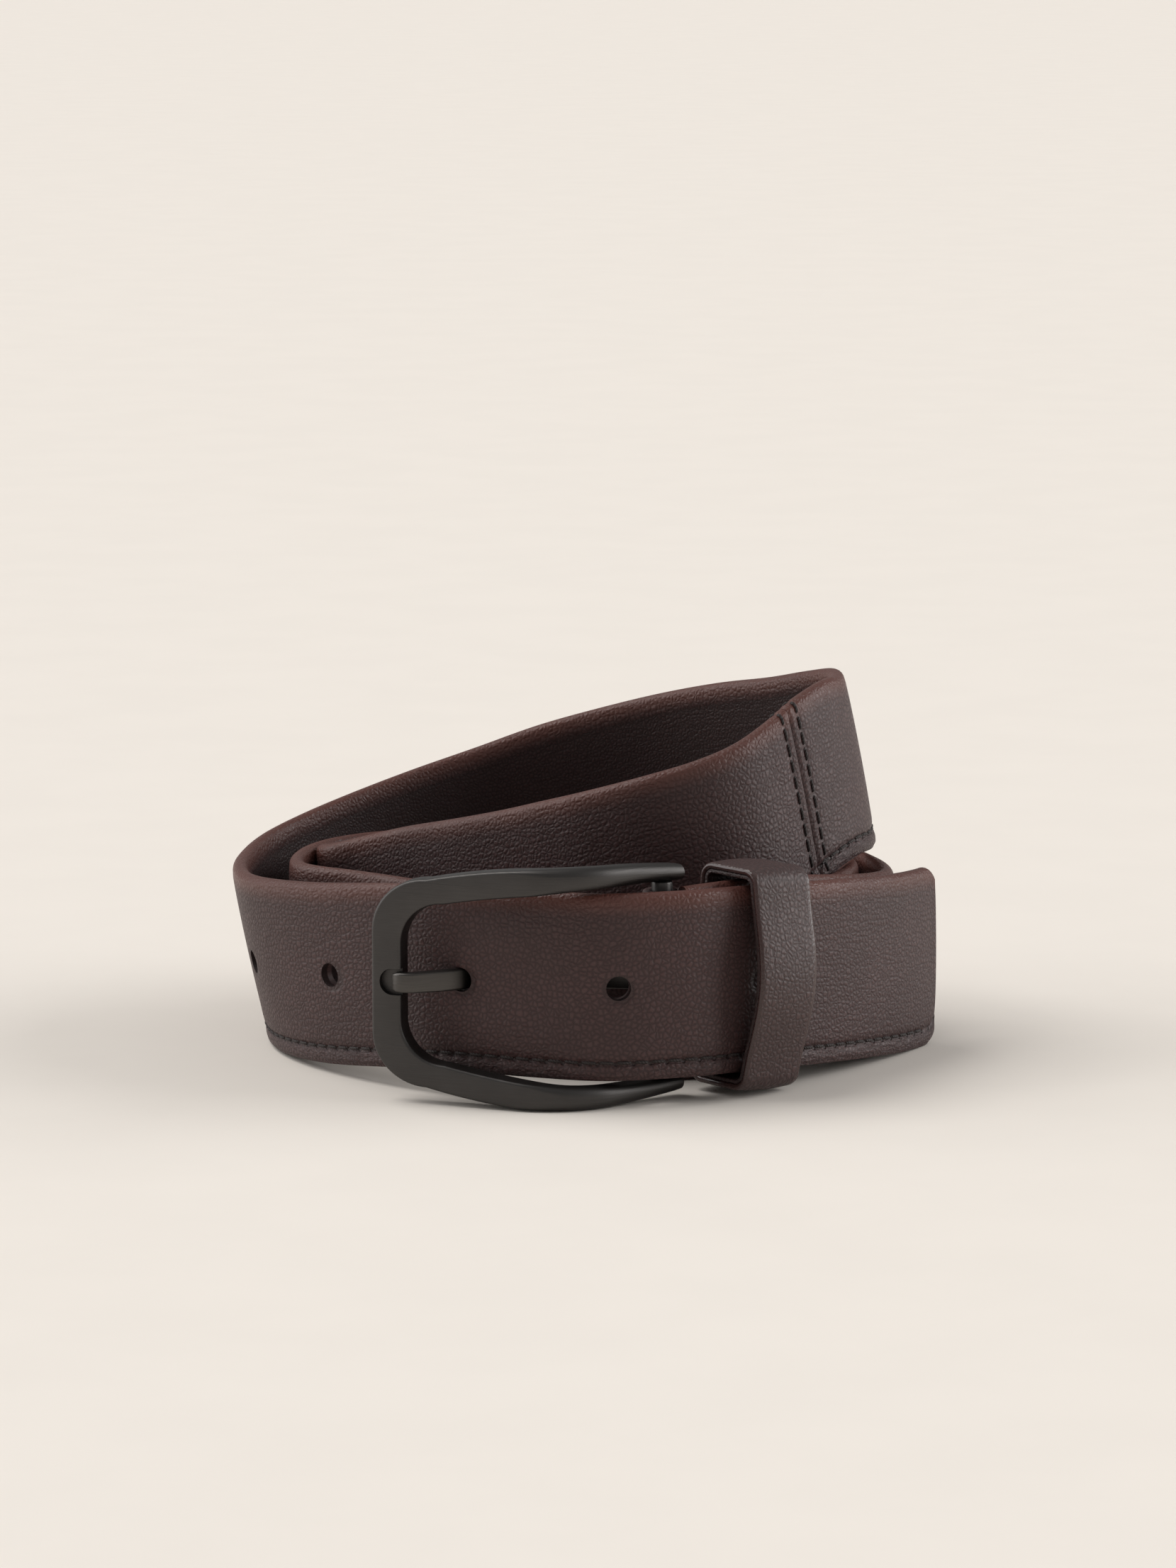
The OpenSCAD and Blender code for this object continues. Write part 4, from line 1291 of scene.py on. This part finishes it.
class BELT_OT_stage(bpy.types.Operator):
    """Set the pale floor, the soft light and the camera"""

    bl_idname = "belt.stage"
    bl_label = "Stage"

    def execute(self, context):
        s = context.scene.belt_stage
        deselect()
        bpy.ops.mesh.primitive_plane_add(size=60.0, location=(0, 20, 0))
        floor = context.object
        floor.name = "floor"
        bpy.ops.object.transform_apply(location=True, rotation=True, scale=True)
        p = Paint("floor_paper", specular=0.15)
        at = p.place()
        mottle = p.noise(at, 30.0, 3.0)
        tone = tuple(s.floor)
        colour = p.blend(mottle.step(0.3, 0.7), tone, tuple(c * 0.985 for c in tone))
        floor.data.materials.append(p.finish(colour, 0.9))
        sun = bpy.data.lights.new("key", "SUN")
        sun.energy = s.key
        sun.angle = math.radians(38)
        sun.color = (1.0, 0.985, 0.965)
        lamp = bpy.data.objects.new("key", sun)
        lamp.rotation_euler = Vector((0.55, -0.16, -1.0)).to_track_quat("-Z", "Y").to_euler()
        context.scene.collection.objects.link(lamp)
        for name, share, way in (("side_right", 1.0, (-0.95, -0.1, -0.3)),
                                 ("side_left", 0.6, (0.95, -0.1, -0.3))):
            soft = bpy.data.lights.new(name, "SUN")
            soft.energy = s.side * share
            soft.angle = math.radians(50)
            lamp = bpy.data.objects.new(name, soft)
            lamp.rotation_euler = Vector(way).to_track_quat("-Z", "Y").to_euler()
            context.scene.collection.objects.link(lamp)
        world = bpy.data.worlds.new("studio")
        world.use_nodes = True
        sky = world.node_tree.nodes["Background"]
        sky.inputs["Color"].default_value = (1.0, 0.99, 0.975, 1.0)
        sky.inputs["Strength"].default_value = s.fill
        context.scene.world = world
        context.scene.view_settings.view_transform = "Standard"
        cam = bpy.data.cameras.new("camera")
        cam.sensor_fit = "HORIZONTAL"
        cam.sensor_width = 36.0
        cam.lens = 174.2
        cam.clip_end = 200.0
        camera = bpy.data.objects.new("camera", cam)
        camera.location = set_down((0.0, -1026.7, 232.6))
        camera.rotation_euler = (math.radians(80.5), 0.0, 0.0)
        context.scene.collection.objects.link(camera)
        context.scene.camera = camera
        return {"FINISHED"}


class BELT_PT_panel(bpy.types.Panel):
    bl_idname = "BELT_PT_panel"
    bl_label = "Dress belt"
    bl_space_type = "VIEW_3D"
    bl_region_type = "UI"
    bl_category = "Belt"

    def draw(self, context):
        layout = self.layout
        for heading, owner, operators in PANEL_ROWS:
            box = layout.box()
            box.label(text=heading)
            settings = getattr(context.scene, owner)
            for key in settings.__annotations__:
                box.prop(settings, key)
            for op in operators:
                box.operator(op.bl_idname)


PANEL_ROWS = (
    ("Strap", "belt_strap", (BELT_OT_strap,)),
    ("Sewing", "belt_sewing", (BELT_OT_sewing, BELT_OT_fold)),
    ("Keeper", "belt_keeper", (BELT_OT_keeper,)),
    ("Buckle", "belt_buckle", (BELT_OT_buckle, BELT_OT_prong)),
    ("Stage", "belt_stage", (BELT_OT_stage,)),
)
SETTINGS = (
    ("belt_strap", BeltStrapSettings),
    ("belt_sewing", BeltSewingSettings),
    ("belt_keeper", BeltKeeperSettings),
    ("belt_buckle", BeltBuckleSettings),
    ("belt_stage", BeltStageSettings),
)
OPERATORS = (BELT_OT_strap, BELT_OT_sewing, BELT_OT_fold, BELT_OT_keeper, BELT_OT_buckle,
             BELT_OT_prong, BELT_OT_stage)


def register():
    for name, group in SETTINGS:
        bpy.utils.register_class(group)
        setattr(bpy.types.Scene, name, bpy.props.PointerProperty(type=group))
    for cls in OPERATORS + (BELT_PT_panel,):
        bpy.utils.register_class(cls)


def unregister():
    for cls in reversed(OPERATORS + (BELT_PT_panel,)):
        bpy.utils.unregister_class(cls)
    for name, group in reversed(SETTINGS):
        delattr(bpy.types.Scene, name)
        bpy.utils.unregister_class(group)


def main():
    register()
    for op in OPERATORS:
        group, name = op.bl_idname.split(".")
        getattr(getattr(bpy.ops, group), name)()


if __name__ == "__main__":
    main()
